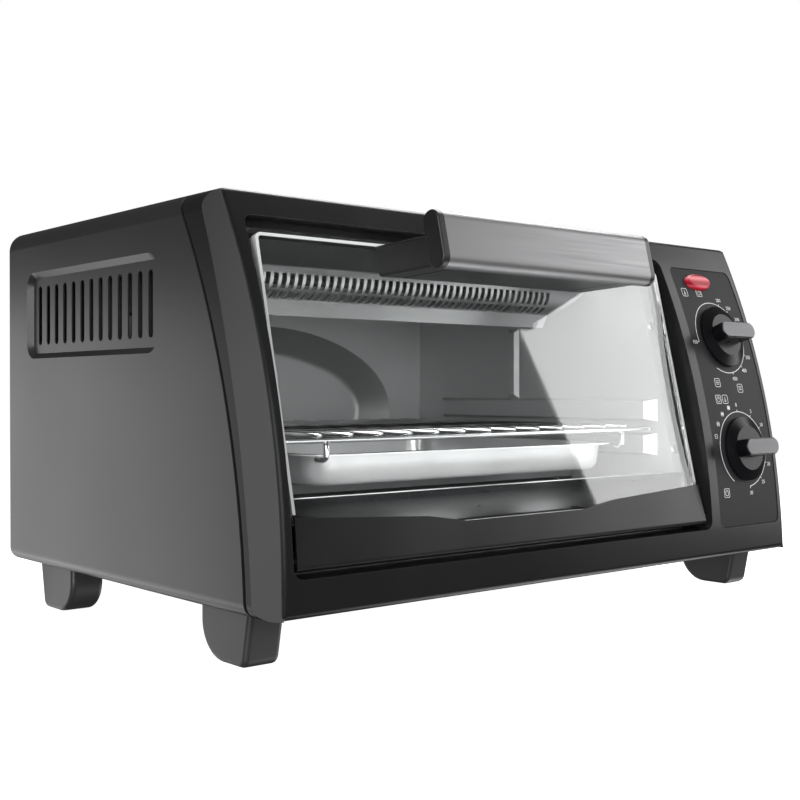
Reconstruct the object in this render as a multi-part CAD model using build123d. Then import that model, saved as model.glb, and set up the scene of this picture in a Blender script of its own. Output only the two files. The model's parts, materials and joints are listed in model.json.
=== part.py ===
"""Compact toaster oven: curved front, drop-down glass door, door-linked rack and two rotary controls.

Millimetres. +X is to the right of someone facing the oven, +Y goes to the back and +Z is up. The origin
is on the worktop, in the middle of the width and of the overall depth.
"""
import os
from math import asin, cos, radians, sin, sqrt

from build123d import *

# Body
body_width = 400.0
body_height = 191.0
body_depth = 254.4  # rear edge to the front face, at mid height
foot_height = 25.0
top_radius = 11.0
bottom_radius = 7.0
sheet = 0.8
slack = 0.25  # clearance between fixed pieces that slip together
hole_play = 0.1  # clearance of a screw or bush in its hole

# Curves of the front, seen from the side: set-back at mid height, lean there and radius
front_lean = 13.4
front_radius = 446.0
crease_set_back = 11.9
crease_lean = 13.0
crease_radius = 568.0
crease_slope = 1.1  # rise of the corner chamfer for each millimetre of width
seam_set_back = 20.4
seam_lean = 16.4
seam_radius = 387.0
seam_gap = 2.4

# Front frame
frame_wall = 2.5
frame_edge_radius = 3.0
lip_wall = 1.6
lip_length = 7.0
stile_width = 15.0  # left of the door opening
sill_height = 17.0  # below the door opening
header_height = 12.0  # above the door opening
opening_radius = 5.5

# Control bay
fascia_width = 61.0
fascia_top_gap = 4.0  # below the upper edge of the door opening
bay_left_margin = 8.0
fascia_radius = 4.0
fascia_wall = 2.0
fascia_sunk = 0.4
bay_right_margin = 14.0
knob_spread = 69.0
knob_drop = 43.0  # upper knob below the upper edge of the fascia
knob_radius = 19.5
knob_edge = 2.0  # upright rim of the disc
knob_bevel = 6.0
knob_rise = 2.6  # height of the bevel
knob_roof = 1.6
knob_height = 14.0
knob_wall = 2.5
knob_gap = 0.6
grip_length = 34.0
grip_flare = 3.0  # each end, from the disc to the facing
grip_width = 10.4
insert_wall = 0.9
insert_margin = 0.5
shaft_radius = 3.0
bush_radius = 4.5
nut_size = 12.0  # across flats
nut_height = 2.2
boss_radius = 12.0
boss_depth = 9.0
thermostat_size = 34.0
thermostat_depth = 22.0
housing_radius = 3.0
terminal_width = 6.0
terminal_wall = 0.8
terminal_length = 8.0
timer_radius = 22.0
timer_depth = 30.0
bell_radius = 17.0
bell_depth = 9.0
bell_wall = 1.0
bell_post_radius = 3.0
lens_length = 24.0
lens_width = 11.0
lens_proud = 2.4
lens_depth = 9.0
lens_drop = 8.5
lens_offset = -6.5
lamp_radius = 3.2
lamp_length = 16.0

# Door, measured in its own leaning plane
door_lean = 13.2
door_set_back = 9.2
door_sill_gap = 3.0
door_header_gap = 8.1
door_side_gap = 5.5
glass_wall = 4.0
glass_radius = 3.0
rail_height = 23.6
rail_shoulder = 19.2
rail_notch = 15.4
rail_notch_width = 88.0
rail_ramp_width = 136.0
rail_flare = 2.0
rail_block = 9.0
rail_depth = 8.0
rail_skin = 1.3
rail_edge_radius = 2.4
hinge_up = 5.0
hinge_in = 3.5
pin_radius = 2.0
pin_grip = 12.0
bush_wall = 1.4
bush_rim = 0.9
bush_collar = 1.2
running_fit = 0.05

# Handle
handle_length = 155.0
handle_width = 28.0
handle_thickness = 11.0
handle_radius = 5.3
handle_reach = 38.4  # glass to the back of the bar
handle_top_margin = -1.8
handle_skin = 1.2
handle_cover_depth = 7.6
cap_length = 4.0
cap_radius = 1.0
arm_width = 15.0
arm_height = 15.6
arm_drop = 7.0
arm_top_margin = 1.2
arm_radius = 1.5
arm_end_gap = 2.0
web_wall = 3.0
screw_radius = 2.0
screw_head_radius = 4.2
screw_head_height = 2.4
screw_bite = 10.0

# Cavity
cavity_side_step = 2.0  # inside the edge of the door
cavity_floor_step = 8.0  # above the lower edge of the opening
cavity_ceiling_step = 4.0  # below the upper edge of the opening
cavity_back_gap = 10.8  # back wall ahead of the rear edge
flange_set_back = 14.0  # behind the front of the glass
flange_width = 13.0
bulge_width = 228.0
bulge_height = 116.0
bulge_depth = 18.0
bulge_slope = 0.9
bulge_radius = 5.0
rear_bulge_margin = 8.0
rear_bulge_depth = 18.0

# Rack, guides and pan
rack_up = 50.0  # above the cavity floor
rack_wire = 2.2
rack_rod = 1.5
rack_rods = 13
rack_rod_margin = 29.5  # from the cavity wall to the first rod
rack_front = 24.0  # front bar behind the mid-height front face
rack_back_gap = 15.0
rack_side_gap = 0.6
rack_corner = 8.0
rack_play = 0.3
guide_depth = 6.0
guide_height = 13.6
guide_headroom = 2.4
guide_slope = 1.5
guide_front_gap = 3.0
guide_back_gap = 26.0
bead_width = 10.0
bead_depth = 2.5
bead_height = 47.0
bead_from_back = 97.0
hook_wire = 1.5
hook_drop = 7.4
hook_side_gap = 16.8
hook_reach = 17.0
hook_bar_inset = 10.0
hook_bar_back = 33.0
pan_side_gap = 13.2  # inside the hooks
pan_back_gap = 34.6  # ahead of the back wall
pan_depth = 15.0
pan_rim = 6.0
pan_corner = 14.0
pan_floor_radius = 5.0
pan_front_gap = 3.0

# Heating
element_radius = 3.2
element_tail = 9.0
upper_element_drop = 11.0
lower_element_up = 13.5
element_spread = 44.0
insulator_radius = 6.0
insulator_neck = 4.6
insulator_flange = 2.5
insulator_tail = 4.0
upper_element_back = 110.0  # first upper heater behind the mid-height front face
upper_guard_lean = 8.5
upper_guard_knee = 12.8
upper_guard_face = 3.0
upper_guard_round = 12.6
upper_guard_lip = 8.6
upper_guard_inset = 23.0  # lower corners in from the side walls
upper_lip_inset = 5.0
guard_flange = 12.0
guard_front = 82.0  # front of the rounded guard behind the mid-height front face
guard_slots = 43
guard_slot_pitch = 5.1
guard_slot_width = 3.0
guard_long_slot = (0.0, 36.0)  # degrees round the guard's face
guard_short_slot = (44.0, 76.0)
lower_guard_back = 126.5  # middle behind the mid-height front face
lower_guard_up = 23.0
lower_guard_width = 66.0
lower_guard_lip = 5.0
lower_guard_holes = 18
lower_guard_hole = 1.5
lower_guard_foot = 8.0

# Crumb tray
tray_side_gap = 6.0
tray_rim = 6.0
tray_lip = 14.0
tray_back_gap = 8.0
tray_front_set_back = 11.0

# Casing, rear and base
rear_flange = 8.0
base_flange = 24.0
vent_length = 150.0
vent_height = 48.5
vent_radius = 9.0
vent_depth = 3.0
vent_drop = 50.0  # centre below the top of the body
vent_from_back = 99.5
vent_slots = 13
vent_pitch = 10.6
vent_slot_width = 4.6
vent_slot_length = 33.2
rear_slots = 9
rear_slot_pitch = 22.0
rear_slot_width = 3.6
rear_slot_length = 14.0
rear_slot_drop = 17.0
base_slots = 7
base_slot_pitch = 26.0
base_slot_length = 60.0
base_slot_width = 4.0
case_screw_radius = 1.6
case_screw_head = 3.4
case_screw_height = 2.0
case_screw_length = 7.0
case_screw_inset = 5.0
flange_screw_head = 3.0
flange_screw_height = 1.2
flange_screw_inset = 3.8
gland_radius = 8.0
gland_bore = 3.8
gland_collar = 11.0
gland_collar_wall = 3.0
gland_length = 14.0
gland_up = 34.0
gland_from_side = 40.0

# Feet
foot_length = 42.0
foot_width = 19.0
foot_side_gap = 8.0
foot_front_gap = 7.0
foot_rear_gap = 23.5
foot_slant = 5.0
foot_toe_radius = 5.0
foot_heel_radius = 18.0
foot_edge_radius = 2.5
foot_screw_bite = 11.0

# Places worked out from the sizes above
body_bottom = foot_height
body_top = body_bottom + body_height
mid_z = (body_bottom + body_top) / 2
door_sin = sin(radians(door_lean))
door_cos = cos(radians(door_lean))
opening_low = body_bottom + sill_height
opening_high = body_top - header_height
opening_height = opening_high - opening_low
door_z = opening_low + door_sill_gap
door_height = (opening_height - door_sill_gap - door_header_gap) / door_cos
bar_low = door_height - handle_top_margin - handle_width
bar_front = handle_reach + handle_thickness
half_width = body_width / 2
opening_left = -half_width + stile_width
opening_right = half_width - bay_right_margin - fascia_width - bay_left_margin
opening_width = opening_right - opening_left
door_centre = (opening_left + opening_right) / 2
door_width = opening_width - 2 * door_side_gap
fascia_height = opening_height - fascia_top_gap


def handle_overhang():
    """How far the handle stands ahead of the mid-height front face."""
    along = bar_low + handle_radius
    out = bar_front - handle_radius
    door_foot = door_set_back - (mid_z - door_z) * door_sin / door_cos
    return out * door_cos + handle_radius - along * door_sin - door_foot


rear_y = (body_depth + handle_overhang() - rear_bulge_depth) / 2
front_y = rear_y - body_depth
door_y = front_y + door_set_back - (mid_z - door_z) * door_sin / door_cos
panel_y = rear_y - sheet  # inner face of the rear panel
cavity_width = door_width - 2 * cavity_side_step
cavity_left = door_centre - cavity_width / 2
cavity_right = door_centre + cavity_width / 2
floor_z = opening_low + cavity_floor_step
ceiling_z = opening_high - cavity_ceiling_step
cavity_height = ceiling_z - floor_z
back_y = rear_y - cavity_back_gap
rack_z = floor_z + rack_up
bulge_z = floor_z + sheet + bulge_height / 2
hook_spread = cavity_width - 2 * hook_side_gap
pan_width = hook_spread - 2 * pan_side_gap

door_plane = Plane(
    origin=(door_centre, door_y, door_z),
    x_dir=(1, 0, 0),
    z_dir=(0, -door_cos, door_sin),
)
hinge_y = door_y + hinge_up * door_sin + hinge_in * door_cos
hinge_z = door_z + hinge_up * door_cos - hinge_in * door_sin


# Shared forms
def span(x0, x1, y0, y1, z0, z1):
    """Box between two corners."""
    return Pos((x0 + x1) / 2, (y0 + y1) / 2, (z0 + z1) / 2) * Box(x1 - x0, y1 - y0, z1 - z0)


def rod(start, end, radius):
    """Round bar between two points."""
    run = Vector(*end) - Vector(*start)
    return extrude(Plane(origin=start, z_dir=run) * Circle(radius), amount=run.length)


def in_row(shape, pitch, count):
    """Copies of a sketch in a centred row along its first axis."""
    return Sketch() + [place * shape for place in GridLocations(pitch, 1, count, 1)]


def in_door(shape):
    """Place a shape drawn in the plane of the door: across, up the door and out of it."""
    return door_plane.location * shape


def up_door(z, out):
    """Distance up the door of a height, on a plane parallel to the glass."""
    return (z - door_z - out * door_sin) / door_cos


def front_view(shape, y0, y1):
    """Carry a sketch of the front view from y0 back to y1."""
    return extrude(Plane.XZ.offset(-y1) * shape, amount=y1 - y0)


def outline(inset):
    """Rounded section of the body, drawn inside its skin."""
    shape = Rectangle(body_width - 2 * inset, body_height - 2 * inset)
    shape = fillet(shape.vertices().group_by(Axis.Y)[-1], max(top_radius - inset, 0.5))
    shape = fillet(shape.vertices().group_by(Axis.Y)[0], max(bottom_radius - inset, 0.5))
    return Pos(0, mid_z) * shape


def body_prism(inset, y0, y1):
    """The body's section carried along its depth."""
    return front_view(outline(inset), y0, y1)


def behind_arc(set_back, lean, radius, inset=0.0):
    """All that lies behind a front curve: a wide cylinder whose rim is the curve."""
    y = front_y + set_back + radius * cos(radians(lean))
    z = mid_z - radius * sin(radians(lean))
    return Pos(0, y, z) * Rot(0, 90, 0) * Cylinder(radius - inset, body_width + 40)


def behind_front(inset=0.0):
    """All that lies behind the front face, or behind a curve inside it."""
    return behind_arc(0, front_lean, front_radius, inset)


def behind_seam(shift=0.0):
    """All that lies behind the seam between the wrapper and the front frame."""
    return behind_arc(seam_set_back + shift, seam_lean, seam_radius)


def front_at(z):
    """Y of the front face at a height."""
    rise = z - mid_z + front_radius * sin(radians(front_lean))
    return front_y + front_radius * cos(radians(front_lean)) - sqrt(front_radius**2 - rise**2)


def seam_at(z):
    """Y of the seam at a height."""
    rise = z - mid_z + seam_radius * sin(radians(seam_lean))
    return front_y + seam_set_back + seam_radius * cos(radians(seam_lean)) - sqrt(seam_radius**2 - rise**2)


def front_plane(x, z):
    """Plane that touches the front face at a point, facing out."""
    tilt = asin((z - mid_z + front_radius * sin(radians(front_lean))) / front_radius)
    return Plane(origin=(x, front_at(z), z), x_dir=(1, 0, 0), z_dir=(0, -cos(tilt), sin(tilt)))


def both_sides(shape):
    """A shape and its mirror image across the middle of the body."""
    return shape + mirror(shape, about=Plane.YZ)


def behind_flange():
    """All that lies behind the plane of the cavity's front flanges."""
    far = 2 * body_depth
    return in_door(span(-body_width, body_width, -far, far, -far, -flange_set_back))


# Casing
def vent_frustum(inward):
    """Pressed field of the side vents, as a tapered plug on the right side."""
    plane = Plane(
        origin=(half_width - inward, rear_y - vent_from_back, body_top - vent_drop),
        x_dir=(0, 1, 0),
        z_dir=(-1, 0, 0),
    )
    return extrude(plane * RectangleRounded(vent_length, vent_height, vent_radius), vent_depth, taper=45)


def vent_slot_row():
    """Upright rounded slots through the pressed field of the right side."""
    plane = Plane(
        origin=(half_width, rear_y - vent_from_back, body_top - vent_drop),
        x_dir=(0, 1, 0),
        z_dir=(-1, 0, 0),
    )
    slots = in_row(SlotOverall(vent_slot_length, vent_slot_width, 90), vent_pitch, vent_slots)
    return extrude(plane * slots, vent_depth + 2 * sheet)


def rear_screw_places():
    """X and Z of the screws that hold the rear panel to the wrapper."""
    across = half_width - sheet - case_screw_inset
    low = body_bottom + sheet + case_screw_inset
    high = body_top - sheet - case_screw_inset
    corner = max(top_radius, bottom_radius)
    return [
        (-across, low + corner),
        (across, low + corner),
        (-across, high - corner),
        (across, high - corner),
        (-across / 2, high),
        (across / 2, high),
    ]


def rear_holes(radius):
    """Bores along Y at the places of the rear screws."""
    bores = [
        rod((x, panel_y - case_screw_length, z), (x, rear_y + sheet, z), radius)
        for x, z in rear_screw_places()
    ]
    return Part() + bores


def outer_wrapper():
    """Top and sides in one bent sheet, turned in along the base and round the back."""
    skin = body_prism(0, front_y, rear_y) - body_prism(sheet, front_y - 1, rear_y + 1)
    turned_in = body_prism(0.5 * sheet, panel_y - sheet, panel_y)
    turned_in -= body_prism(sheet + rear_flange, panel_y - 2 * sheet, panel_y + sheet)
    wrapper = (skin + turned_in) & behind_seam()
    inner = half_width - bottom_radius - base_flange
    wrapper -= span(-inner, inner, front_y, panel_y - sheet, body_bottom - 1, body_bottom + sheet)
    press = vent_frustum(0)
    tub = vent_frustum(sheet) - press
    wrapper = wrapper - both_sides(press) + both_sides(tub)
    wrapper -= both_sides(vent_slot_row())
    wrapper -= rear_holes(case_screw_radius + hole_play)
    return wrapper - foot_screw_bores(case_screw_radius + hole_play)


def bulge(width, height, depth):
    """Round-cornered oval dish pressed towards the back, starting at the plane y = 0."""
    shrink = depth * bulge_slope
    low = Plane.XZ * Ellipse(width / 2, height / 2)
    high = Plane.XZ.offset(-depth) * Ellipse(width / 2 - shrink, height / 2 - shrink)
    dish = loft([low, high], ruled=True)
    return fillet(dish.edges().group_by(Axis.Y)[-1], bulge_radius)


def rear_panel():
    """Back cover with the oval bulge, a row of vents and the hole of the cord gland."""
    width = bulge_width + 2 * rear_bulge_margin
    height = bulge_height + 2 * rear_bulge_margin
    place = Pos(door_centre, 0, bulge_z)
    dish = place * Pos(0, panel_y, 0) * bulge(width, height, rear_bulge_depth + sheet)
    hollow = place * Pos(0, panel_y - sheet, 0) * bulge(width, height, rear_bulge_depth + sheet)
    panel = body_prism(sheet + slack, panel_y, rear_y) + dish - hollow
    slots = in_row(SlotOverall(rear_slot_length, rear_slot_width), rear_slot_pitch, rear_slots)
    vents = Pos(0, body_top - rear_slot_drop) * slots
    panel -= front_view(vents, panel_y - 1, rear_y + 1)
    x, z = gland_place()
    panel -= rod((x, panel_y - 1, z), (x, rear_y + 1, z), gland_radius)
    return panel - rear_holes(case_screw_radius + hole_play)


def rear_panel_screws():
    """Pan-head screws through the rear panel and the turned-in edge of the wrapper."""
    screws = []
    for x, z in rear_screw_places():
        shank = rod((x, rear_y - case_screw_length, z), (x, rear_y, z), case_screw_radius)
        head = rod((x, rear_y, z), (x, rear_y + case_screw_height, z), case_screw_head)
        head = fillet(head.edges().group_by(Axis.Y)[-1], case_screw_height / 2)
        screws.append(shank + head)
    return Compound(children=[s.solid() for s in screws])


def gland_place():
    """X and Z of the mains inlet on the rear panel, behind the controls."""
    return half_width - gland_from_side, body_bottom + gland_up


def cord_gland():
    """Moulded inlet bush, open through its middle."""
    x, z = gland_place()
    bush = rod((x, rear_y - gland_length, z), (x, rear_y, z), gland_radius)
    collar = rod((x, rear_y, z), (x, rear_y + gland_collar_wall, z), gland_collar)
    collar = fillet(collar.edges().group_by(Axis.Y)[-1], gland_collar_wall / 2)
    bore = rod((x, rear_y - gland_length - 1, z), (x, rear_y + gland_collar_wall + 1, z), gland_bore)
    return bush + collar - bore


def base_front():
    """Y of the front edge of the base plate, just behind the lip of the front frame."""
    return seam_at(body_bottom) + lip_length + 1


def base_plate():
    """Flat floor of the casing, lying on the turned-in edges of the wrapper, with air slots."""
    half = half_width - bottom_radius
    low = body_bottom + sheet
    plate = span(-half, half, base_front(), panel_y - sheet - slack, low, low + sheet)
    slots = in_row(SlotOverall(base_slot_length, base_slot_width, 90), base_slot_pitch, base_slots)
    plate -= extrude(Pos(door_centre, (base_front() + panel_y) / 2, low - 1) * slots, 2 + sheet)
    return plate - foot_screw_bores(case_screw_radius + hole_play)


# Feet
def foot_places():
    """Name, X of the middle, Y of the middle and outward direction along Y of each foot."""
    x = half_width - foot_side_gap - foot_width / 2
    front = seam_at(body_bottom) + foot_front_gap + foot_length / 2
    back = rear_y - foot_rear_gap - foot_length / 2
    return [
        ("foot_front_left", -x, front, -1),
        ("foot_front_right", x, front, -1),
        ("foot_rear_left", -x, back, 1),
        ("foot_rear_right", x, back, 1),
    ]


def foot_screw_bores(radius):
    """Upright bores where the feet are screwed on from inside."""
    bores = []
    for _, x, y, _ in foot_places():
        bores.append(rod((x, y, body_bottom - foot_screw_bite), (x, y, body_bottom + 4 * sheet), radius))
    return Part() + bores


def foot(x, y, outward):
    """Moulded foot: upright toe with a slight slant, big round heel, soft edges."""
    half = foot_length / 2
    corners = [
        (-outward * half, foot_height),
        (outward * half, foot_height),
        (outward * (half - foot_slant), 0),
        (-outward * half, 0),
    ]
    side = make_face(Polyline(*corners, close=True))
    low = side.vertices().group_by(Axis.Y)[0].sort_by(Axis.X)
    heel, toe = (low[0], low[-1]) if outward > 0 else (low[-1], low[0])
    side = fillet(heel, foot_heel_radius)
    low = side.vertices().group_by(Axis.Y)[0].sort_by(Axis.X)
    side = fillet(low[-1] if outward > 0 else low[0], foot_toe_radius)
    block = extrude(Plane.YZ.offset(-foot_width / 2) * side, foot_width)
    ends = block.faces().group_by(Axis.X)
    rims = [e for f in (ends[0] + ends[-1]) for e in f.edges() if e.center().Z < foot_height - 0.01]
    block = fillet(rims, foot_edge_radius)
    return Pos(x, y, 0) * block - foot_screw_bores(case_screw_radius)


def foot_screws():
    """Screws from inside the casing into the feet."""
    screws = []
    seat = body_bottom + 2 * sheet
    for _, x, y, _ in foot_places():
        shank = rod((x, y, body_bottom - foot_screw_bite), (x, y, seat), case_screw_radius)
        head = rod((x, y, seat), (x, y, seat + case_screw_height), case_screw_head)
        screws.append(shank + head)
    return Compound(children=[s.solid() for s in screws])


# Front frame
def corner_chamfer(set_back):
    """Material in front of the slanted corner band of the right side."""
    y = front_y + crease_set_back + set_back + crease_radius * cos(radians(crease_lean))
    z = mid_z - crease_radius * sin(radians(crease_lean))
    side = Plane(origin=(half_width, 0, 0), x_dir=(0, 1, 0), z_dir=(1, 0, 0))
    block = Pos(front_y, mid_z) * Rectangle(body_depth, 2 * body_height)
    front = side * (block - Pos(y, z) * Circle(crease_radius))
    reach = body_depth / 8
    out = extrude(front, reach, dir=(1, crease_slope, 0))
    return out + extrude(front, 2 * reach, dir=(-1, -crease_slope, 0))


def opening_sketch(grow):
    """Rounded outline of the door opening in the front view."""
    middle = (opening_low + opening_high) / 2
    shape = RectangleRounded(opening_width + 2 * grow, opening_height + 2 * grow, opening_radius + grow)
    return Pos(door_centre, middle) * shape


def fascia_centre():
    """X and Z of the middle of the control bay."""
    x = half_width - bay_right_margin - fascia_width / 2
    return x, opening_low + fascia_height / 2


def fascia_sketch(grow):
    """Rounded outline of the control fascia in the front view."""
    shape = RectangleRounded(fascia_width + 2 * grow, fascia_height + 2 * grow, fascia_radius + grow)
    x, z = fascia_centre()
    return Pos(x, z) * shape


def control_places():
    """Name and touching plane of the two controls."""
    x, z = fascia_centre()
    upper = z + fascia_height / 2 - knob_drop
    return [("temperature", front_plane(x, upper)), ("timer", front_plane(x, upper - knob_spread))]


def lens_plane():
    """Plane of the indicator lens on the front face."""
    x, z = fascia_centre()
    return front_plane(x + lens_offset, z + fascia_height / 2 - lens_drop)


def front_band(sketch, outer, inner):
    """Front-view outline cut out of the band between two depths below the front face."""
    block = front_view(sketch, front_y - body_depth / 4, front_y + body_depth / 3)
    return block & (behind_front(outer) - behind_front(inner))


def hinge_bore(radius):
    """Bore along the hinge axis through both jambs of the door opening."""
    reach = half_width - stile_width / 2
    return rod((-reach, hinge_y, hinge_z), (reach, hinge_y, hinge_z), radius)


def frame_block(y0, y1):
    """Outside of the front frame: curved face, slanted corner bands and softened front edges."""
    block = (body_prism(0, y0, y1) & behind_front()) - behind_seam(-seam_gap)
    block -= both_sides(corner_chamfer(0))
    long_edges = block.edges().filter_by(lambda edge: edge.length > body_height)
    top_and_base = [min(edges, key=lambda edge: edge.center().Y) for edges in split_at_middle(long_edges)]
    creases = block.edges().filter_by(GeomType.BSPLINE).filter_by(lambda edge: edge.length > body_height / 2)
    return fillet(top_and_base + list(creases), frame_edge_radius)


def split_at_middle(edges):
    """Edges across the body above and below its middle."""
    across = edges.filter_by(Axis.X)
    return [[e for e in across if e.center().Z > mid_z], [e for e in across if e.center().Z < mid_z]]


def front_frame():
    """Moulded frame: curved face, slanted corner bands, door jambs, control bay and rear lip."""
    recess = fascia_sunk + fascia_wall
    y0 = front_y - body_depth / 4
    y1 = front_y + body_depth / 2
    outer = frame_block(y0, y1)
    void = body_prism(frame_wall, y0, y1) & behind_front(frame_wall)
    void -= both_sides(corner_chamfer(1.5 * frame_wall))
    void -= front_band(fascia_sketch(frame_wall), frame_wall, frame_wall + recess)
    frame = outer - void
    frame -= front_view(opening_sketch(0), y0, y1)
    jamb = front_view(opening_sketch(frame_wall), y0, y1) - front_view(opening_sketch(0), y0 - 1, y1 + 1)
    frame += (jamb & behind_front()) - behind_flange()
    frame -= front_band(fascia_sketch(slack), -1, recess)
    inset = sheet + slack
    lip = body_prism(inset, y0, y1) - body_prism(inset + lip_wall, y0 - 1, y1 + 1)
    frame += (lip & behind_seam(-seam_gap - lip_wall)) - behind_seam(lip_length)
    for _, plane in control_places():
        boss = plane.location * Pos(0, 0, -boss_depth) * extrude(Circle(boss_radius), boss_depth)
        frame += boss & behind_front(recess)
        bore = extrude(Circle(bush_radius + hole_play), 2 * boss_depth, both=True)
        frame -= plane.location * bore
    window = extrude(Ellipse(lens_length / 2 + slack, lens_width / 2 + slack), 4 * lens_depth, both=True)
    frame -= lens_plane().location * window
    bores = hinge_bore(pin_radius + bush_wall)
    jamb_inner = opening_width / 2 - 1
    bores -= span(
        door_centre - jamb_inner, door_centre + jamb_inner, y0, y1, body_bottom, body_top
    )
    keep = opening_width / 2 + frame_wall + 2
    bores &= span(door_centre - keep, door_centre + keep, y0, y1, body_bottom, body_top)
    return frame - bores


def control_fascia():
    """Curved plate seated in the control bay, bored for the two controls and the lens."""
    plate = front_band(fascia_sketch(0), fascia_sunk, fascia_sunk + fascia_wall)
    for _, plane in control_places():
        plate -= plane.location * extrude(Circle(0.7 * nut_size), 2 * boss_depth, both=True)
    window = extrude(Ellipse(lens_length / 2 + slack, lens_width / 2 + slack), 4 * lens_depth, both=True)
    return plate - lens_plane().location * window


def indicator_lens():
    """Oval domed lens that passes through the fascia and the frame."""
    lens = extrude(Ellipse(lens_length / 2, lens_width / 2), lens_proud + lens_depth)
    lens = fillet(lens.edges().group_by(Axis.Z)[-1], 0.9 * lens_proud)
    return lens_plane().location * Pos(0, 0, -lens_depth) * lens


def indicator_lamp():
    """Small neon lamp in its sleeve, standing on the back of the lens."""
    lamp = extrude(Circle(lamp_radius), -lamp_length)
    lamp = fillet(lamp.edges().group_by(Axis.Z)[0], 0.6 * lamp_radius)
    return lens_plane().location * Pos(0, 0, -lens_depth) * lamp


# Controls, drawn about the Z axis with the front face at z = 0
def knob():
    """Bevelled disc with a flared bar grip across it, hollow below, bored for the shaft."""
    base = -fascia_sunk + knob_gap
    shoulder = base + knob_edge
    top = shoulder + knob_rise
    flat = knob_radius - knob_bevel
    half = [(0, base), (knob_radius, base), (knob_radius, shoulder), (flat, top), (0, top)]
    disc = revolve(Plane.XZ * make_face(Polyline(*half, close=True)), Axis.Z)
    foot_of_grip = Pos(0, 0, base) * SlotOverall(grip_length - 2 * grip_flare, grip_width)
    crown = Pos(0, 0, base + knob_height - insert_wall) * SlotOverall(grip_length, grip_width)
    grip = loft([foot_of_grip, crown], ruled=True)
    hollow = extrude(Circle(flat - knob_wall), top - knob_roof)
    hub = Pos(0, 0, nut_height) * extrude(Circle(shaft_radius + knob_wall), top)
    return disc + grip - hollow + hub - extrude(Circle(shaft_radius), shaft_top())


def shaft_top():
    """Height of the shaft's end inside the knob."""
    return 0.6 * knob_height


def knob_insert():
    """Thin bright facing on the front of the grip."""
    length = grip_length - 2 * insert_margin
    plate = extrude(SlotOverall(length, grip_width - 2 * insert_margin), insert_wall)
    plate = fillet(plate.edges().group_by(Axis.Z)[-1], 0.4 * insert_wall)
    return Pos(0, 0, -fascia_sunk + knob_gap + knob_height - insert_wall) * plate


def control_shaft(depth):
    """Shaft from inside the control's housing to the knob."""
    return Pos(0, 0, -depth) * extrude(Circle(shaft_radius), depth + shaft_top())


def control_housing(body):
    """Housing behind its boss, with the bush that the shaft turns in."""
    bush = Pos(0, 0, -boss_depth) * extrude(Circle(bush_radius), boss_depth)
    seat = Pos(0, 0, -boss_depth) * body
    return seat + bush - control_shaft_bore()


def control_shaft_bore():
    """Running bore for the shaft."""
    return Pos(0, 0, -shaft_depth()) * extrude(Circle(shaft_radius + running_fit), 2 * shaft_depth())


def shaft_depth():
    """How far a shaft reaches below the front face."""
    return boss_depth + thermostat_depth / 2


def control_nut():
    """Hexagon nut that clamps a housing to the frame."""
    hexagon = RegularPolygon(nut_size / 2, 6, major_radius=False)
    nut = extrude(hexagon, nut_height) - extrude(Circle(bush_radius), nut_height)
    return Pos(0, 0, -fascia_sunk - fascia_wall) * nut


def thermostat_block():
    """Square housing with two terminal blades at its back."""
    block = extrude(RectangleRounded(thermostat_size, thermostat_size, housing_radius), -thermostat_depth)
    blade = extrude(Rectangle(terminal_width, terminal_wall), -terminal_length)
    for side in (-1, 1):
        block += Pos(0, side * thermostat_size / 4, -thermostat_depth) * blade
    return block


def timer_drum():
    """Round clockwork housing with the post of its bell."""
    drum = extrude(Circle(timer_radius), -timer_depth)
    drum = fillet(drum.edges().group_by(Axis.Z)[0], housing_radius)
    post = Pos(0, 0, -timer_depth) * extrude(Circle(bell_post_radius), -bell_depth)
    return drum + post


def timer_bell():
    """Cup-shaped gong on the post behind the timer."""
    cup = extrude(Circle(bell_radius), bell_depth)
    cup = fillet(cup.edges().group_by(Axis.Z)[0], 0.5 * bell_depth)
    hollow = extrude(Circle(bell_radius - bell_wall), bell_depth)
    hollow = fillet(hollow.edges().group_by(Axis.Z)[0], 0.5 * bell_depth - 0.5 * bell_wall)
    cup -= Pos(0, 0, bell_wall) * hollow
    return Pos(0, 0, -boss_depth - timer_depth - bell_depth - bell_wall) * cup


# Door, drawn as x across, y up the glass and z out of it
def door_glass():
    """Plain glass plate, held in the lower rail and drilled for the handle."""
    middle = (rail_block + door_height) / 2
    face = Pos(0, middle) * Rectangle(door_width, door_height - rail_block)
    face = fillet(face.vertices(), glass_radius)
    plate = Pos(0, 0, -glass_wall) * extrude(face, glass_wall)
    for x, y in handle_screw_places():
        plate -= Pos(x, y, -2 * glass_wall) * extrude(Circle(screw_radius + slack), 4 * glass_wall)
    return in_door(plate)


def rail_sketch():
    """Front view of the lower rail: flared ends and a shallow notch in the upper edge."""
    low = door_width / 2 + rail_flare
    half = [
        (low, 0),
        (door_width / 2, rail_height),
        (rail_ramp_width / 2, rail_shoulder),
        (rail_notch_width / 2, rail_notch),
    ]
    other = [(-x, y) for x, y in reversed(half)]
    return make_face(Polyline(*half, *other, close=True))


def door_lower_rail():
    """Rail that grips the lower edge of the glass and carries the hinge pins."""
    rail = Pos(0, 0, -rail_depth) * extrude(rail_sketch(), rail_depth + rail_skin)
    rail = fillet(rail.edges().filter_by(Axis.X).group_by(Axis.Y)[0], rail_edge_radius)
    wide = door_width
    play = slack / 2
    rail -= span(-wide, wide, rail_block, 2 * rail_height, -glass_wall - play, play)
    rail -= span(-wide, wide, rail_block, 2 * rail_height, -2 * rail_depth, -glass_wall - rail_skin - play)
    return in_door(rail) - hinge_bore(pin_radius)


def pin_ends():
    """Inner and outer X of each hinge pin, left then right."""
    jamb = opening_width / 2 + frame_wall
    grip = door_width / 2 - pin_grip
    left = (door_centre - grip, door_centre - jamb - bush_wall)
    right = (door_centre + grip, door_centre + jamb + bush_wall)
    return left, right


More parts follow.
